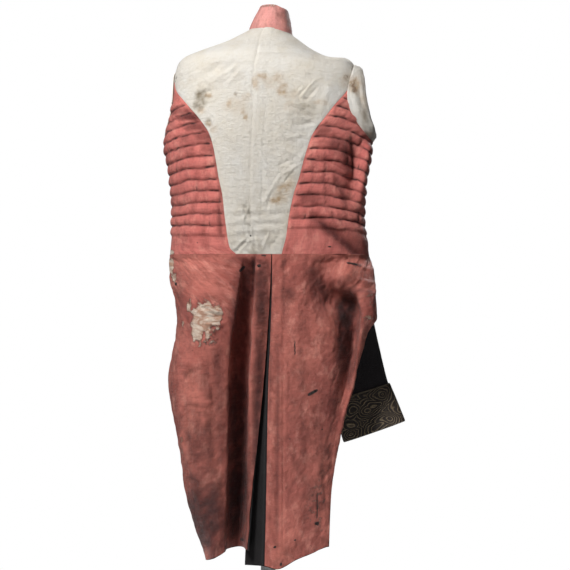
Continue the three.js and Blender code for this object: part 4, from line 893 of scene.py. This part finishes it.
# The silks' light, dark and worn colours in sRGB, and their roughness.
SILKS = {
    "side": ((226, 136, 124), (194, 102, 94), (196, 160, 128), 0.45),
    "tail": ((212, 126, 110), (160, 82, 72), (188, 146, 122), 0.42),
    "collar": ((232, 168, 160), (214, 134, 124), (214, 176, 150), 0.5),
}
MATERIALS = {
    **{
        key: silk(key + "_silk", linear(*light), linear(*dark), linear(*worn), roughness)
        for key, (light, dark, worn, roughness) in SILKS.items()
    },
    "linen": linen("back_linen"),
    "wool": wool("coat_wool", linear(14, 12, 13), linear(32, 29, 30)),
    "sleeve_wool": wool("sleeve_wool", linear(36, 33, 36), linear(66, 61, 64)),
    "cuff": embroidery("cuff_embroidery"),
    "form": canvas("form_canvas"),
    "steel": steel("stand_steel"),
}

# ---------------------------------------------------------------- the body
SIDES = {"left": -1, "right": 1}
SLOPE_FOOT_Z = 1046  # where the slope of the shoulders ends
# The right shoulder stands up round over its armhole: its middle's x and z, its radius, its size.
SWELL = {"centre": (156, 1055), "radius": 34, "out": 5, "up": 14}
ARMHOLE_LEAST_X, NECK_LEAST_Z = 90, 1000  # no armhole is cut nearer the middle, no neck lower
CREASE_FADE = 0.3  # the share of a crease's length in which each end of it dies away
LINEN_RELIEF = 1.75  # how much deeper the linen's creases are than their rows say
HOLLOW_RELIEF, HOLLOW_SLACK = 1.4, 0.5
SHELL_SUNK = 1.8  # the wool of the body lies this much further in than the part's
ROLL_REACH = 2.5
HOLE_MARK = 0.85  # a spot as strong as this is a hole
QUILT_SAG = 1.35  # over 1 sets a channel's crest below its middle
QUILT_SINK = 0.8
QUILT_RELIEF = 1.2
TACK_PITCH, TACK_REACH = 27.0, 2.6


def body_lines(above, below):
    """Heights down the body, with so many above the foot of the slope and so many below it."""
    slope = np.linspace(SHOULDER_TOP_Z, SLOPE_FOOT_Z, above, endpoint=False)
    return np.r_[slope, np.linspace(SLOPE_FOOT_Z, WAIST_Z, below)]


LINEN_LINES = body_lines(45, 136)
QUILT_LINES = body_lines(45, 195)
SHELL_LINES = body_lines(22, 68)


def spread(points, values, columns):
    """Values taken at even lengths along each line of points, and those lengths."""
    lengths = np.linalg.norm(np.diff(points, axis=1), axis=2).cumsum(1)
    lengths = np.c_[np.zeros(len(points)), lengths]
    share = np.linspace(0, 1, columns)
    picked = np.array([np.interp(share * l[-1], l, v) for l, v in zip(lengths, values)])
    return picked, share * lengths[:, -1:]


def flattened(points, across):
    """A cloth's flat coordinates: along each line, and down by the length of its middle."""
    fall = np.linalg.norm(np.diff(points[:, points.shape[1] // 2], axis=0), axis=1).cumsum()
    return np.stack([across, np.r_[0, fall][:, None] + 0 * across], -1)


def even_angles(hand, lines, start, end, columns):
    """Angles along each line from start to end, at even lengths of cloth."""
    angles = start[:, None] + (end - start)[:, None] * np.linspace(0, 1, 240)
    points = body_point(angles, lines[:, None] + climb(hand, angles, lines[:, None]))
    return spread(points, angles, columns)


def swell(points):
    """How the right shoulder stands up round over its armhole, as a move of each point."""
    offset = (points[..., [0, 2]] - SWELL["centre"]) / SWELL["radius"]
    share = np.exp(-(offset**2).sum(-1))
    return share[..., None] * np.array([SWELL["out"], 0, SWELL["up"]])


def body_cloth(hand, panel, depth, lines):
    """A panel of one side of the body at a depth under its face."""
    side = SIDES[hand]
    edge = seam_angle(hand, seam[hand], lines)
    if panel == "back":
        start, end, columns = seam_angle(hand, seam["centre"], lines), edge, len(lines) // 3
    else:
        down = np.clip((SHOULDER_TOP_Z - lines) / (SHOULDER_TOP_Z - WAIST_Z), 0, 1)
        gap = FRONT_GAP["neck"] + (FRONT_GAP["waist"] - FRONT_GAP["neck"]) * down**2
        gap = side * np.minimum(gap, 0.8 * section["right"](lines))
        start, end, columns = edge, side * 180 - angle_at(gap, lines), len(lines) * 4 // 7
    angles, across = even_angles(hand, lines, start, end, columns)
    heights = lines[:, None] + climb(hand, angles, lines[:, None])
    points = body_point(angles, heights) - depth * body_normal(angles, heights)
    points = points + swell(points)
    flat = flattened(points, across)
    if side > 0:
        points, flat = points[:, ::-1], flat[:, ::-1]
    cloth = Cloth(points, flat)
    cloth.line = lines.repeat(columns)
    return cloth


def cut_body(cloth):
    """Cuts the armholes and the neck."""
    for hole in ARMHOLES.values():
        side, cy, cz = hole["side"], hole["y"], hole["z"]
        a, b = hole["half_depth"], hole["half_height"]
        reach = lambda q: np.hypot((q[:, 1] - cy) / a, (q[:, 2] - cz) / b)

        def snap(q):
            plan = np.array([cy, cz]) + (q[:, 1:] - [cy, cz]) / reach(q)[:, None]
            in_by = q[:, 0] - side_x(side, q[:, 1], q[:, 2])
            return np.c_[side_x(side, plan[:, 0], plan[:, 1]) + in_by, plan]

        p = cloth.points
        cloth.cut((reach(p) < 1) & (p[:, 0] * side > ARMHOLE_LEAST_X), snap)
    centre = np.array([NECK["x"], NECK["y"]])
    half = np.array([NECK["half_width"], NECK["half_depth"]])
    power = NECK["power"]
    neck_reach = lambda q: (np.abs((q[:, :2] - centre) / half) ** power).sum(1) ** (1 / power)

    def snap_neck(q):
        plan = centre + (q[:, :2] - centre) / neck_reach(q)[:, None]
        in_by = q[:, 2] - body_height(q[:, 0], q[:, 1])
        return np.c_[plan, body_height(plan[:, 0], plan[:, 1]) + in_by]

    cloth.cut((neck_reach(cloth.points) < 1) & (cloth.points[:, 2] > NECK_LEAST_Z), snap_neck)


def ridge(points, x0, z0, x1, z1, width, height):
    """How far a soft crease between two places of the picture stands out."""
    (ax, az), (bx, bz) = spot(x0, z0), spot(x1, z1)
    along = np.array([bx - ax, bz - az])
    length = np.hypot(*along)
    along = along / length
    rel = points[:, [0, 2]] - [ax, az]
    t = rel @ along
    off = rel @ np.array([-along[1], along[0]])
    fade = CREASE_FADE * length
    ends = smooth(t / fade + 0.3) * smooth((length - t) / fade + 0.3)
    return height * np.exp(-((off / (width * PIXEL)) ** 2)) * ends * (points[:, 1] < 0)


def relief(points, creases):
    """How far all the creases of a cloth together stand out."""
    return sum(ridge(points, *crease) for crease in creases)


def hollows(points, creases, deeper=1.0):
    """How far a shell is pushed in, to stay clear of its lining's creases."""
    return HOLLOW_RELIEF * np.minimum(0, deeper * relief(points, creases) + HOLLOW_SLACK)


def blot(points, x, y, rx, ry):
    """A soft patch from 0 to 1 round a place of the picture."""
    cx, cz = spot(x, y)
    u, v = (points[:, 0] - cx) / (rx * PIXEL), (points[:, 2] - cz) / (ry * PIXEL)
    reach = np.hypot(u, v) * (1 + 0.25 * noise(3 * u, 3 * v, 7))
    return smooth(1.4 - reach) * (points[:, 1] < 0)


def marked(cloth, tables={}):
    """Gives a cloth its marks: each is the most of its patches' and its streaks' strengths."""
    for name in ("wear", "stain_and_shade", "spot", "soil_and_shade", "edge", "groove_shade"):
        value = np.zeros(len(cloth.points))
        for row in tables.get(name, []):
            if len(row) == 5:
                *place, strength = row
                shape = strength * blot(cloth.points, *place)
            else:
                shape = ridge(cloth.points, *row)
            value = np.maximum(value, shape)
        cloth.marks[name] = value


def holed(cloth):
    """Cuts away the faces that lie wholly inside a cloth's holes, so what is under it shows."""
    cloth.faces = cloth.faces[~(cloth.marks["spot"] > HOLE_MARK)[cloth.faces].all(1)]


def quilt(cloth):
    """Raises the wadded channels, which hang fuller at the foot and pinch in at tacks."""
    pitch = (QUILT_TOP - QUILT_BOTTOM) / QUILT_CHANNELS
    u = cloth.across
    wander = 0.09 * noise(u / 30, cloth.line / pitch, 3) + 0.05 * noise(u / 9, cloth.line / pitch, 4)
    channel = (QUILT_TOP - cloth.line) / pitch + wander
    number = np.floor(channel)
    share = channel - number
    inside = smooth(channel / 0.4 + 0.2) * smooth((QUILT_CHANNELS - channel) / 0.4 + 0.2)
    ends = smooth(u / 6) * smooth((cloth.width - u) / 16)
    puff = np.abs(np.sin(np.pi * share**QUILT_SAG)) ** 0.55
    whole = number.astype(int)
    place = u / TACK_PITCH + 0.45 * noise(number * 3.7, u / 60, 8) + lattice(whole, 0 * whole, 9)
    tack = np.exp(-(((place - np.round(place)) * TACK_PITCH / TACK_REACH) ** 2))
    strength = 0.08 + 0.5 * lattice(np.round(place).astype(int), whole, 10) ** 2.5
    full = (1 + 0.28 * noise(number * 5.1, u / 24, 5)) * (1 - strength * tack)
    pucker = 0.55 * noise(u / 5 + number * 3, channel, 6) * (0.35 + 0.65 * (1 - puff))
    cloth.push(inside * ends * (QUILT_HEIGHT * QUILT_RELIEF * puff * full - QUILT_SINK + pucker))
    # Painted shade lies in the grooves, and under the full foot of each channel.
    near = np.where(share > 0.5, (1 - share) / 1.5, share)
    thread = 0.75 + 0.3 * noise(u / 9, number, 12)
    foot = 0.8 * tack * smooth((strength - 0.3) / 0.12) * smooth((share - 0.35) / 0.4)
    cloth.marks["groove_shade"] = inside * ends * np.maximum(thread * smooth(1 - near / 0.17), foot)


def rolled_edges(cloth, depth=0.9):
    """Sinks both ends of each line, where the panel is turned in at its seams."""
    cloth.push(-depth * np.exp(-((cloth.from_ends() / ROLL_REACH) ** 2)))


def build_body():
    for hand, side in SIDES.items():
        back = body_cloth(hand, "back", 0, LINEN_LINES)
        x, z = back.points[:, 0], back.points[:, 2]
        fine = smooth((1010 - z) / 60) * smooth((x + 10) / 30) + smooth((800 - z) / 40)
        sharp = 1 - 2.4 * np.abs(layered(x / 17 + z / 40, z / 15, 13))
        back.push(0.5 * layered(x / 38, z / 55, 11) + 0.2 * layered(x / 9, z / 14, 12))
        back.push((0.2 + 0.45 * np.minimum(1, fine)) * sharp)
        back.push(LINEN_RELIEF * relief(back.points, CREASES["back"]))
        rolled_edges(back)
        if hand == "right":
            # The centre seam's allowances are pressed to this side.
            allowance = smooth((21 - back.across) / 1.5) * smooth((back.line - 745) / 40)
            back.push(0.9 * allowance)
        marked(back, MARKS["back"])
        cut_body(back)
        make("linen_back", hand, back)

        front = body_cloth(hand, "front", 0, QUILT_LINES)
        x, y, z = front.points.T
        front.push(0.35 * layered(x / 30 + y / 40, z / 30, 21 + side))
        front.push(relief(front.points, CREASES["side"]))
        marked(front, MARKS["side"])
        quilt(front)
        rolled_edges(front)
        cut_body(front)
        make("quilted_side", hand, front)

        for panel, creases, deeper in (("back", "back", LINEN_RELIEF), ("front", "side", 1)):
            shell = body_cloth(hand, panel, CLOTH_DEPTH, SHELL_LINES)
            sunk = smooth((shell.from_ends() - 4) / 14) * smooth((shell.line - WAIST_Z - 6) / 14)
            shell.push(hollows(shell.points, CREASES[creases], deeper) - SHELL_SUNK * sunk)
            marked(shell)
            cut_body(shell)
            make("wool_" + panel, hand, shell)


# ---------------------------------------------------------------- the skirts
SKIRT_HELD_Z = 682  # above this the skirt comes round to the body's waist
SILK_GRID, SHELL_GRID = (124, 210), (64, 105)  # columns and rows of points
FINE_COLUMNS = 420
UNDERLAP_COLUMNS = 8


def skirt_points(folds, across, down):
    """Points of one skirt at shares from the vent to the front edge and from waist to hem."""
    hem = through(np.array([float(f[2]) for f in folds]), across)
    z = (WAIST_Z - SEAM_GAP) * (1 - down[:, None]) + hem * down[:, None]
    place = []
    for k in (0, 1):
        lines = np.array([curve_through(FOLD_HEIGHTS, f[k])(z.T) for f in folds])
        place.append(through(lines, across, paired=True).T)
    x, y = place
    held = smooth((z - SKIRT_HELD_Z) / (WAIST_Z - SKIRT_HELD_Z))
    waist_y = body_point(angle_at(x, WAIST_Z + 0 * x), WAIST_Z + 0 * x)[..., 1]
    return np.stack([x, y * (1 - held) + waist_y * held, z], -1)


def skirt_cloth(folds, side, depth, edge, grid):
    """One skirt's cloth at a depth under its face, its points evenly spaced."""
    columns, rows = grid
    points = skirt_points(folds, np.linspace(0, 1, FINE_COLUMNS), np.linspace(0, 1, rows))
    even = np.stack([spread(points, points[..., k], columns)[0] for k in range(3)], -1)
    flat = flattened(even, spread(points, points[..., 0], columns)[1])
    if side > 0:
        even, flat = even[:, ::-1], flat[:, ::-1]
    cloth = Cloth(even, flat)
    level = cloth.normals()
    level[:, 2] *= smooth(cloth.fall / 30)
    cloth.points = cloth.points - depth * unit(level)
    if edge:
        grow(cloth, side, edge)
    return cloth


def grow(cloth, side, edge):
    """Moves the front edge and the hem out, where the wool shows past its lining."""
    rows, columns = cloth.shape
    grid = cloth.points.reshape(rows, columns, 3)
    last, before = (0, 1) if side > 0 else (-1, -2)
    grid[:, last] += edge * unit(grid[:, last] - grid[:, before])
    grid[-1] += edge * unit(grid[-1] - grid[-2])
    cloth.points = grid.reshape(-1, 3)


def with_underlap(cloth):
    """Carries the right skirt's wool on past the vent, behind the left skirt."""
    rows, wide = cloth.shape
    grid, flat = cloth.points.reshape(rows, wide, 3), cloth.flat.reshape(rows, wide, 2)
    first = grid[:, -1]
    down = np.clip((WAIST_Z - first[:, 2]) / (WAIST_Z - UNDERLAP["hem"]), 0, 1)
    free = UNDERLAP["top_x"] + (UNDERLAP["bottom_x"] - UNDERLAP["top_x"]) * down
    share = np.linspace(1, 0, UNDERLAP_COLUMNS + 1)[1:]
    x = free[:, None] + (first[:, :1] - free[:, None]) * share
    y = first[:, 1:2] + UNDERLAP["set_back"] * (1 - share) ** 0.6
    flap = np.stack([x, y, first[:, 2:] + 0 * x], -1)
    width = (first[:, :1] - free[:, None]) * (1 - share)
    new_flat = np.stack([-width, flat[:, -1:, 1] + 0 * width], -1)
    return Cloth(np.concatenate([grid, flap], 1), np.concatenate([flat, new_flat], 1))


def crumpled(cloth, seed):
    """Small hanging creases, mostly down the cloth, with a crumple all over."""
    u, v = cloth.flat.T
    hang = layered(u / 26, v / 150, seed)
    sharp = 1 - np.abs(layered(u / 40 + v / 90, v / 60, seed + 7)) * 2.2
    wrinkle = 1 - 2.6 * np.abs(layered(u / 15 + v / 50, v / 26, seed + 9, 3))
    cloth.push(1.6 * hang * smooth(v / 40) + 0.9 * sharp + 0.28 * layered(u / 8, v / 12, seed + 3))
    cloth.push(0.75 * wrinkle * smooth(v / 10))
    # The seam at the waist gathers the silk in short drags that slant down from it.
    drags = layered(u / 11 + v / 60, v / 70, seed + 15, 3)
    cloth.push(1.5 * drags * smooth(v / 8) * np.exp(-v / 60))


def build_skirts():
    for hand, folds in (("left", LEFT_SKIRT), ("right", RIGHT_SKIRT)):
        side, creases = SIDES[hand], CREASES[hand]
        lining = skirt_cloth(folds, side, 0, 0, SILK_GRID)
        crumpled(lining, 31 + side)
        lining.push(smooth(lining.fall / 12) * relief(lining.points, creases))
        rolled_edges(lining, 0.7)
        marked(lining, MARKS[hand])
        holed(lining)
        make("silk_skirt", hand, lining)
        shell = skirt_cloth(folds, side, CLOTH_DEPTH, EDGE_SHOW, SHELL_GRID)
        clear = hollows(shell.points, creases) * smooth(shell.fall / 12)
        shell.push(clear - 0.5 * smooth(shell.fall / 30))
        if hand == "right":
            shell = with_underlap(shell)
        shell.push(0.5 * layered(shell.across / 30, shell.fall / 120, 41))
        marked(shell)
        make("wool_skirt", hand, shell)


# ---------------------------------------------------------------- the collar
COLLAR_GRID = (171, 27)  # columns and rows of points


def build_collar():
    turn = 180 - COLLAR["opening"]
    t, v = np.meshgrid(*(np.linspace(1, 0, count) for count in COLLAR_GRID))
    angle = np.radians(-turn + 2 * turn * t)
    power = 2 / NECK["power"]
    s, c = rounded(np.sin(angle), power), rounded(np.cos(angle), power)
    edge = np.stack([NECK["x"] + NECK["half_width"] * s, NECK["y"] - NECK["half_depth"] * c], -1)
    low = body_height(edge[..., 0], edge[..., 1]) + SEAM_GAP
    share = v[..., None] ** 1.3
    around = np.linalg.norm(np.diff(edge, axis=1), axis=2).cumsum(1)
    flat = np.stack([np.c_[0 * v[:, :1], around], COLLAR["height"] * (1 - v)], -1)
    for kind, depth, step in (("silk_collar", 0, 1), ("wool_collar", CLOTH_DEPTH, 2)):
        foot = edge - depth * np.stack([s, -c], -1)
        width, deep = COLLAR["top_width"] - depth, COLLAR["top_depth"] - depth
        top = np.stack([COLLAR["top_x"] + width * s, COLLAR["top_y"] - deep * c], -1)
        plan = foot * (1 - share) + top * share
        points = np.concatenate([plan, (low + COLLAR["height"] * v)[..., None]], -1)
        cloth = Cloth(points[::step, ::step], flat[::step, ::step])
        if kind == "silk_collar":
            u, w = cloth.flat.T
            sharp = 1 - 2 * np.abs(layered(u / 11 + w / 20, w / 14, 52))
            folds = 0.9 * layered(u / 16, w / 22, 51) + 0.5 * sharp
            cloth.push(folds * smooth((COLLAR["height"] - w) / 4))
        marked(cloth, MARKS["collar"])
        make(kind, "", cloth)


# ---------------------------------------------------------------- the sleeves
FAN_RINGS, TUBE_RINGS = 4, 8
SLEEVE_SIDES = 120
UNDERARM_X = 188  # where the fan of the sleeve's rings turns under the arm
SETTLED_RISE = 14
FLAT_GIRTH = 240  # the flat coordinate all round a sleeve
# The mouth of a sleeve, one row a ring from the edge in: how far it stands out of the armhole,
# how much more behind, how far it moves to the front, how much smaller it is and how far it is
# lifted at the top. The right lining puffs out of its armhole.
PLAIN_MOUTH = [(0, 0, 0, 0, 0), (-5, 0, 0, 0, 0), (-9, 0, 0, 0, 0)]
LINING_MOUTHS = {
    "left": [(1.7, 0, 0, -4, 0), (0.8, 0, 0, 0.5, 0), (-4, 0, 0, 0, 0), (-9, 0, 0, 0, 0)],
    "right": [
        (2.0, 0.8, -1, -5, 0),
        (5, 6, 2, 1, 5),
        (5, 9, 9, 7, 4),
        (-2, 4, 12, 11, 2),
        (-9, 0, 6, 6, 0),
    ],
}


def coarse_rings(hand, depth, rows=PLAIN_MOUTH):
    """The rings of a sleeve as in the part: the mouth, a fan round the underarm, the sleeve."""
    hole, table = ARMHOLES[hand], SLEEVES[hand]
    side, inset = hole["side"], SEAM_GAP + depth
    a = -2 * np.pi * np.arange(SLEEVE_SIDES) / SLEEVE_SIDES
    place = {k: curve_through(table["z"], table[k]) for k in table if k != "z"}
    top, bottom = table["z"][0], table["z"][-1]

    def kept(p):
        room = COAT_THICKNESS + SLEEVE_CLEARANCE + 1.6 * inset
        most = np.abs(side_x(side, p[:, 1], p[:, 2])) - room
        x = side * np.minimum(np.abs(p[:, 0]), most)
        p[:, 0] = np.where(p[:, 2] < WAIST_Z, p[:, 0], x)
        return p

    def mouth(out, behind, shift, less, lift):
        lifted = lift * smooth(np.sin(a))
        y = hole["y"] + shift + side * (hole["half_depth"] - less - inset) * np.cos(a)
        z = hole["z"] + (hole["half_height"] - less - inset) * np.sin(a) + lifted
        reach = out + behind * (0.5 - 0.5 * side * np.cos(a)) ** 1.5 + 0.4 * lifted
        ring = np.stack([side_x(side, y, z) + side * reach, y, z], -1)
        return ring + swell(ring)

    first = {k: float(f(top)) for k, f in place.items()}
    underarm = np.array([side * UNDERARM_X, hole["z"] - hole["half_height"]])
    settled = np.array([first["x"] + side * first["half_depth"], top + SETTLED_RISE])
    rings = [mouth(*row) for row in rows]
    for u in np.arange(1, FAN_RINGS + 1) / FAN_RINGS:
        turn = np.radians(90 * u)
        span = (1 - u**0.7) * 2 * hole["half_height"] + u**0.7 * 2 * first["half_depth"] - 2 * inset
        half = (1 - u) * hole["half_depth"] + u * first["half_width"] - inset
        y = (1 - u) * hole["y"] + u * first["y"]
        foot = (1 - u) * underarm + u * settled
        along = inset + span * (1 + np.sin(a)) / 2
        x = foot[0] - side * np.sin(turn) * along
        ring = np.stack([x, y + side * half * np.cos(a), foot[1] + np.cos(turn) * along], -1)
        rings.append(kept(ring))
    for z in np.linspace(top, bottom, TUBE_RINGS):
        above, below = min(top, z + 8), max(bottom, z - 8)
        fall = unit(np.array([*(place[k](below) - place[k](above) for k in "xy"), below - above]))
        turn = np.radians(place["turn"](z))
        wide = np.array([np.cos(turn), np.sin(turn), 0])
        wide = unit(wide - fall * (wide @ fall))
        deep = np.cross(wide, fall)
        ring = np.array([place["x"](z), place["y"](z), z]) + side * (
            (place["half_width"](z) - depth) * np.cos(a)[:, None] * wide
            + (place["half_depth"](z) - depth) * np.sin(a)[:, None] * deep
        )
        rings.append(kept(ring))
    return np.array(rings)


def sleeve_cloth(rings, step, fine_step=1.8, fine_to=0):
    """A smooth tube through coarse rings, its rows a step apart, and finer near its mouth."""
    length = np.linalg.norm(np.diff(rings, axis=0), axis=2).mean(1)
    along = np.r_[0, length.cumsum()]
    rows = int((along[-1] - fine_to) / step)
    v = np.r_[np.arange(0, fine_to, fine_step), np.linspace(fine_to, along[-1], rows)]
    at = np.interp(v, along, np.linspace(0, 1, len(rings)))
    points = through(rings, at)
    u = np.arange(SLEEVE_SIDES) * (FLAT_GIRTH / SLEEVE_SIDES)
    flat = np.stack(np.meshgrid(u, v), -1)
    return Cloth(points, flat, closed=True)


def round_noise(cloth, around, along, seed):
    """Noise on a tube that joins up round it."""
    turn = cloth.across / FLAT_GIRTH * 2 * np.pi
    place = FLAT_GIRTH / (2 * np.pi * around)
    v = cloth.fall / along
    return layered(place * np.cos(turn) + v, place * np.sin(turn) - 0.7 * v, seed)


def build_sleeves():
    for hand in SIDES:
        outer = sleeve_cloth(coarse_rings(hand, 0), 6.5)
        settled = smooth((outer.fall - 20) / 60)
        outer.push(settled * 0.9 * round_noise(outer, 40, 90, 61))
        marked(outer)
        make("sleeve_cloth", hand, outer)

        rings = coarse_rings(hand, CLOTH + 2 * SEAM_GAP, LINING_MOUTHS[hand])
        lining = sleeve_cloth(rings, 7.5, fine_to=63)
        near = np.exp(-(((lining.fall - 16) / 14) ** 2))
        rolls = 1.5 * round_noise(lining, 60, 8, 65) + 1.0 * round_noise(lining, 30, 6, 66)
        rolls -= 1.6 * np.abs(round_noise(lining, 44, 16, 67))
        gathers = round_noise(lining, 9, 300, 62) * np.exp(-lining.fall / 45)
        lining.push((1.9 * rolls * near if hand == "right" else 0) - 0.8 * np.abs(gathers) * near)
        marked(lining, MARKS["mouth"])
        make("sleeve_linen", hand, lining)

        cuff = sleeve_cloth(coarse_rings(hand, -SEAM_GAP - CUFF_THICKNESS)[-2:], 2.6)
        top = np.exp(-((cuff.fall / 2.2) ** 2))
        bottom = np.exp(-(((cuff.fall.max() - cuff.fall) / 2.2) ** 2))
        cuff.push(-0.8 * (top + bottom) + 0.3 * round_noise(cuff, 30, 30, 64))
        marked(cuff)
        # The top edge's mask for its painted highlight.
        cuff.marks["edge"] = smooth(1.5 * np.exp(-((cuff.fall / 3.0) ** 2)))
        make("embroidered_cuff", hand, cuff)


# ---------------------------------------------------------------- the stand and the stage
def dress_stand():
    for name, material in (("form", "form"), ("pole", "steel"), ("base", "steel")):
        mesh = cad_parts[name].data
        mesh.materials.clear()
        mesh.materials.append(MATERIALS[material])


FLOOR_RADIUS = 0.75
FLOOR_FADE = (0.35, 0.72)  # metres from the middle where the paper begins and ends to fade
FLOOR_GLOW = 0.3


def paper():
    """Pale paper whose round edge fades away, so that it has no border."""
    sh = Shader("floor_paper", 0.9, specular=0.1)
    reach = sh.node("ShaderNodeVectorMath")
    reach.operation = "LENGTH"
    sh.feed(reach.inputs[0], sh.place())
    sh.surface.inputs["Emission Color"].default_value = (1, 1, 1, 1)
    sh.surface.inputs["Emission Strength"].default_value = FLOOR_GLOW
    sh.feed(sh.surface.inputs["Alpha"], sh.ramp(reach.outputs["Value"], *FLOOR_FADE, 1.0, 0.0))
    tone = sh.solid_noise(2, 3)
    return sh.finish(sh.tint(linear(244, 244, 243), tone, 0.05, linear(220, 220, 220), "MIX"))


def build_stage():
    """A round of pale floor under the stand."""
    turns = np.linspace(0, 2 * math.pi, 96, endpoint=False)
    verts = [(FLOOR_RADIUS * math.cos(a), FLOOR_RADIUS * math.sin(a), 0) for a in turns]
    mesh = bpy.data.meshes.new("floor")
    mesh.from_pydata(verts, [], [list(range(len(verts)))])
    mesh.materials.append(paper())
    floor = bpy.data.objects.new("floor", mesh)
    bpy.context.collection.objects.link(floor)


def aim(obj, target):
    """Turns an object's -Z to a place."""
    direction = np.array(target) - np.array(obj.location)
    tilt = math.atan2(direction[2], math.hypot(direction[0], direction[1]))
    obj.rotation_euler = (math.pi / 2 + tilt, 0, math.atan2(-direction[0], direction[1]))


def area_light(name, place, target, size, power):
    light = bpy.data.lights.new(name, "AREA")
    light.shape, light.size, light.energy = "DISK", size, power
    obj = bpy.data.objects.new(name, light)
    obj.location = place
    bpy.context.collection.objects.link(obj)
    aim(obj, target)


LIGHTS = [
    # name, place, target, size, watts
    ("key", (-0.9, -1.8, 2.25), (0.0, 0.0, 0.9), 0.6, 84),
    ("fill", (1.6, -2.6, 1.3), (0.0, 0.0, 0.7), 1.6, 3.5),
    ("behind", (0.8, 2.2, 2.0), (0.0, 0.0, 0.8), 1.6, 30),
]
SKY_LIGHT = 0.05
CAMERA_PLACE = (0.0323, -4.6, 0.6415)
CAMERA_LENS = 151.2


def build_light_and_camera():
    for light in LIGHTS:
        area_light(*light)
    world = bpy.data.worlds.new("studio")
    world.use_nodes = True
    # The sky is white where the camera sees it and dim as a light.
    tree = world.node_tree
    sky = tree.nodes["Background"]
    sky.inputs["Color"].default_value = (1, 1, 1, 1)
    seen = tree.nodes.new("ShaderNodeMapRange")
    tree.links.new(tree.nodes.new("ShaderNodeLightPath").outputs["Is Camera Ray"], seen.inputs["Value"])
    seen.inputs["To Min"].default_value = SKY_LIGHT
    seen.inputs["To Max"].default_value = 1.0
    tree.links.new(seen.outputs["Result"], sky.inputs["Strength"])
    bpy.context.scene.world = world
    camera = bpy.data.objects.new("camera", bpy.data.cameras.new("camera"))
    camera.data.lens = CAMERA_LENS
    camera.data.sensor_width = 36
    camera.location = CAMERA_PLACE
    camera.rotation_euler = (math.pi / 2, 0, 0)
    bpy.context.collection.objects.link(camera)
    bpy.context.scene.camera = camera
    bpy.context.scene.view_settings.view_transform = "Standard"


build_light_and_camera()
build_stage()
build_body()
build_skirts()
build_collar()
build_sleeves()
dress_stand()
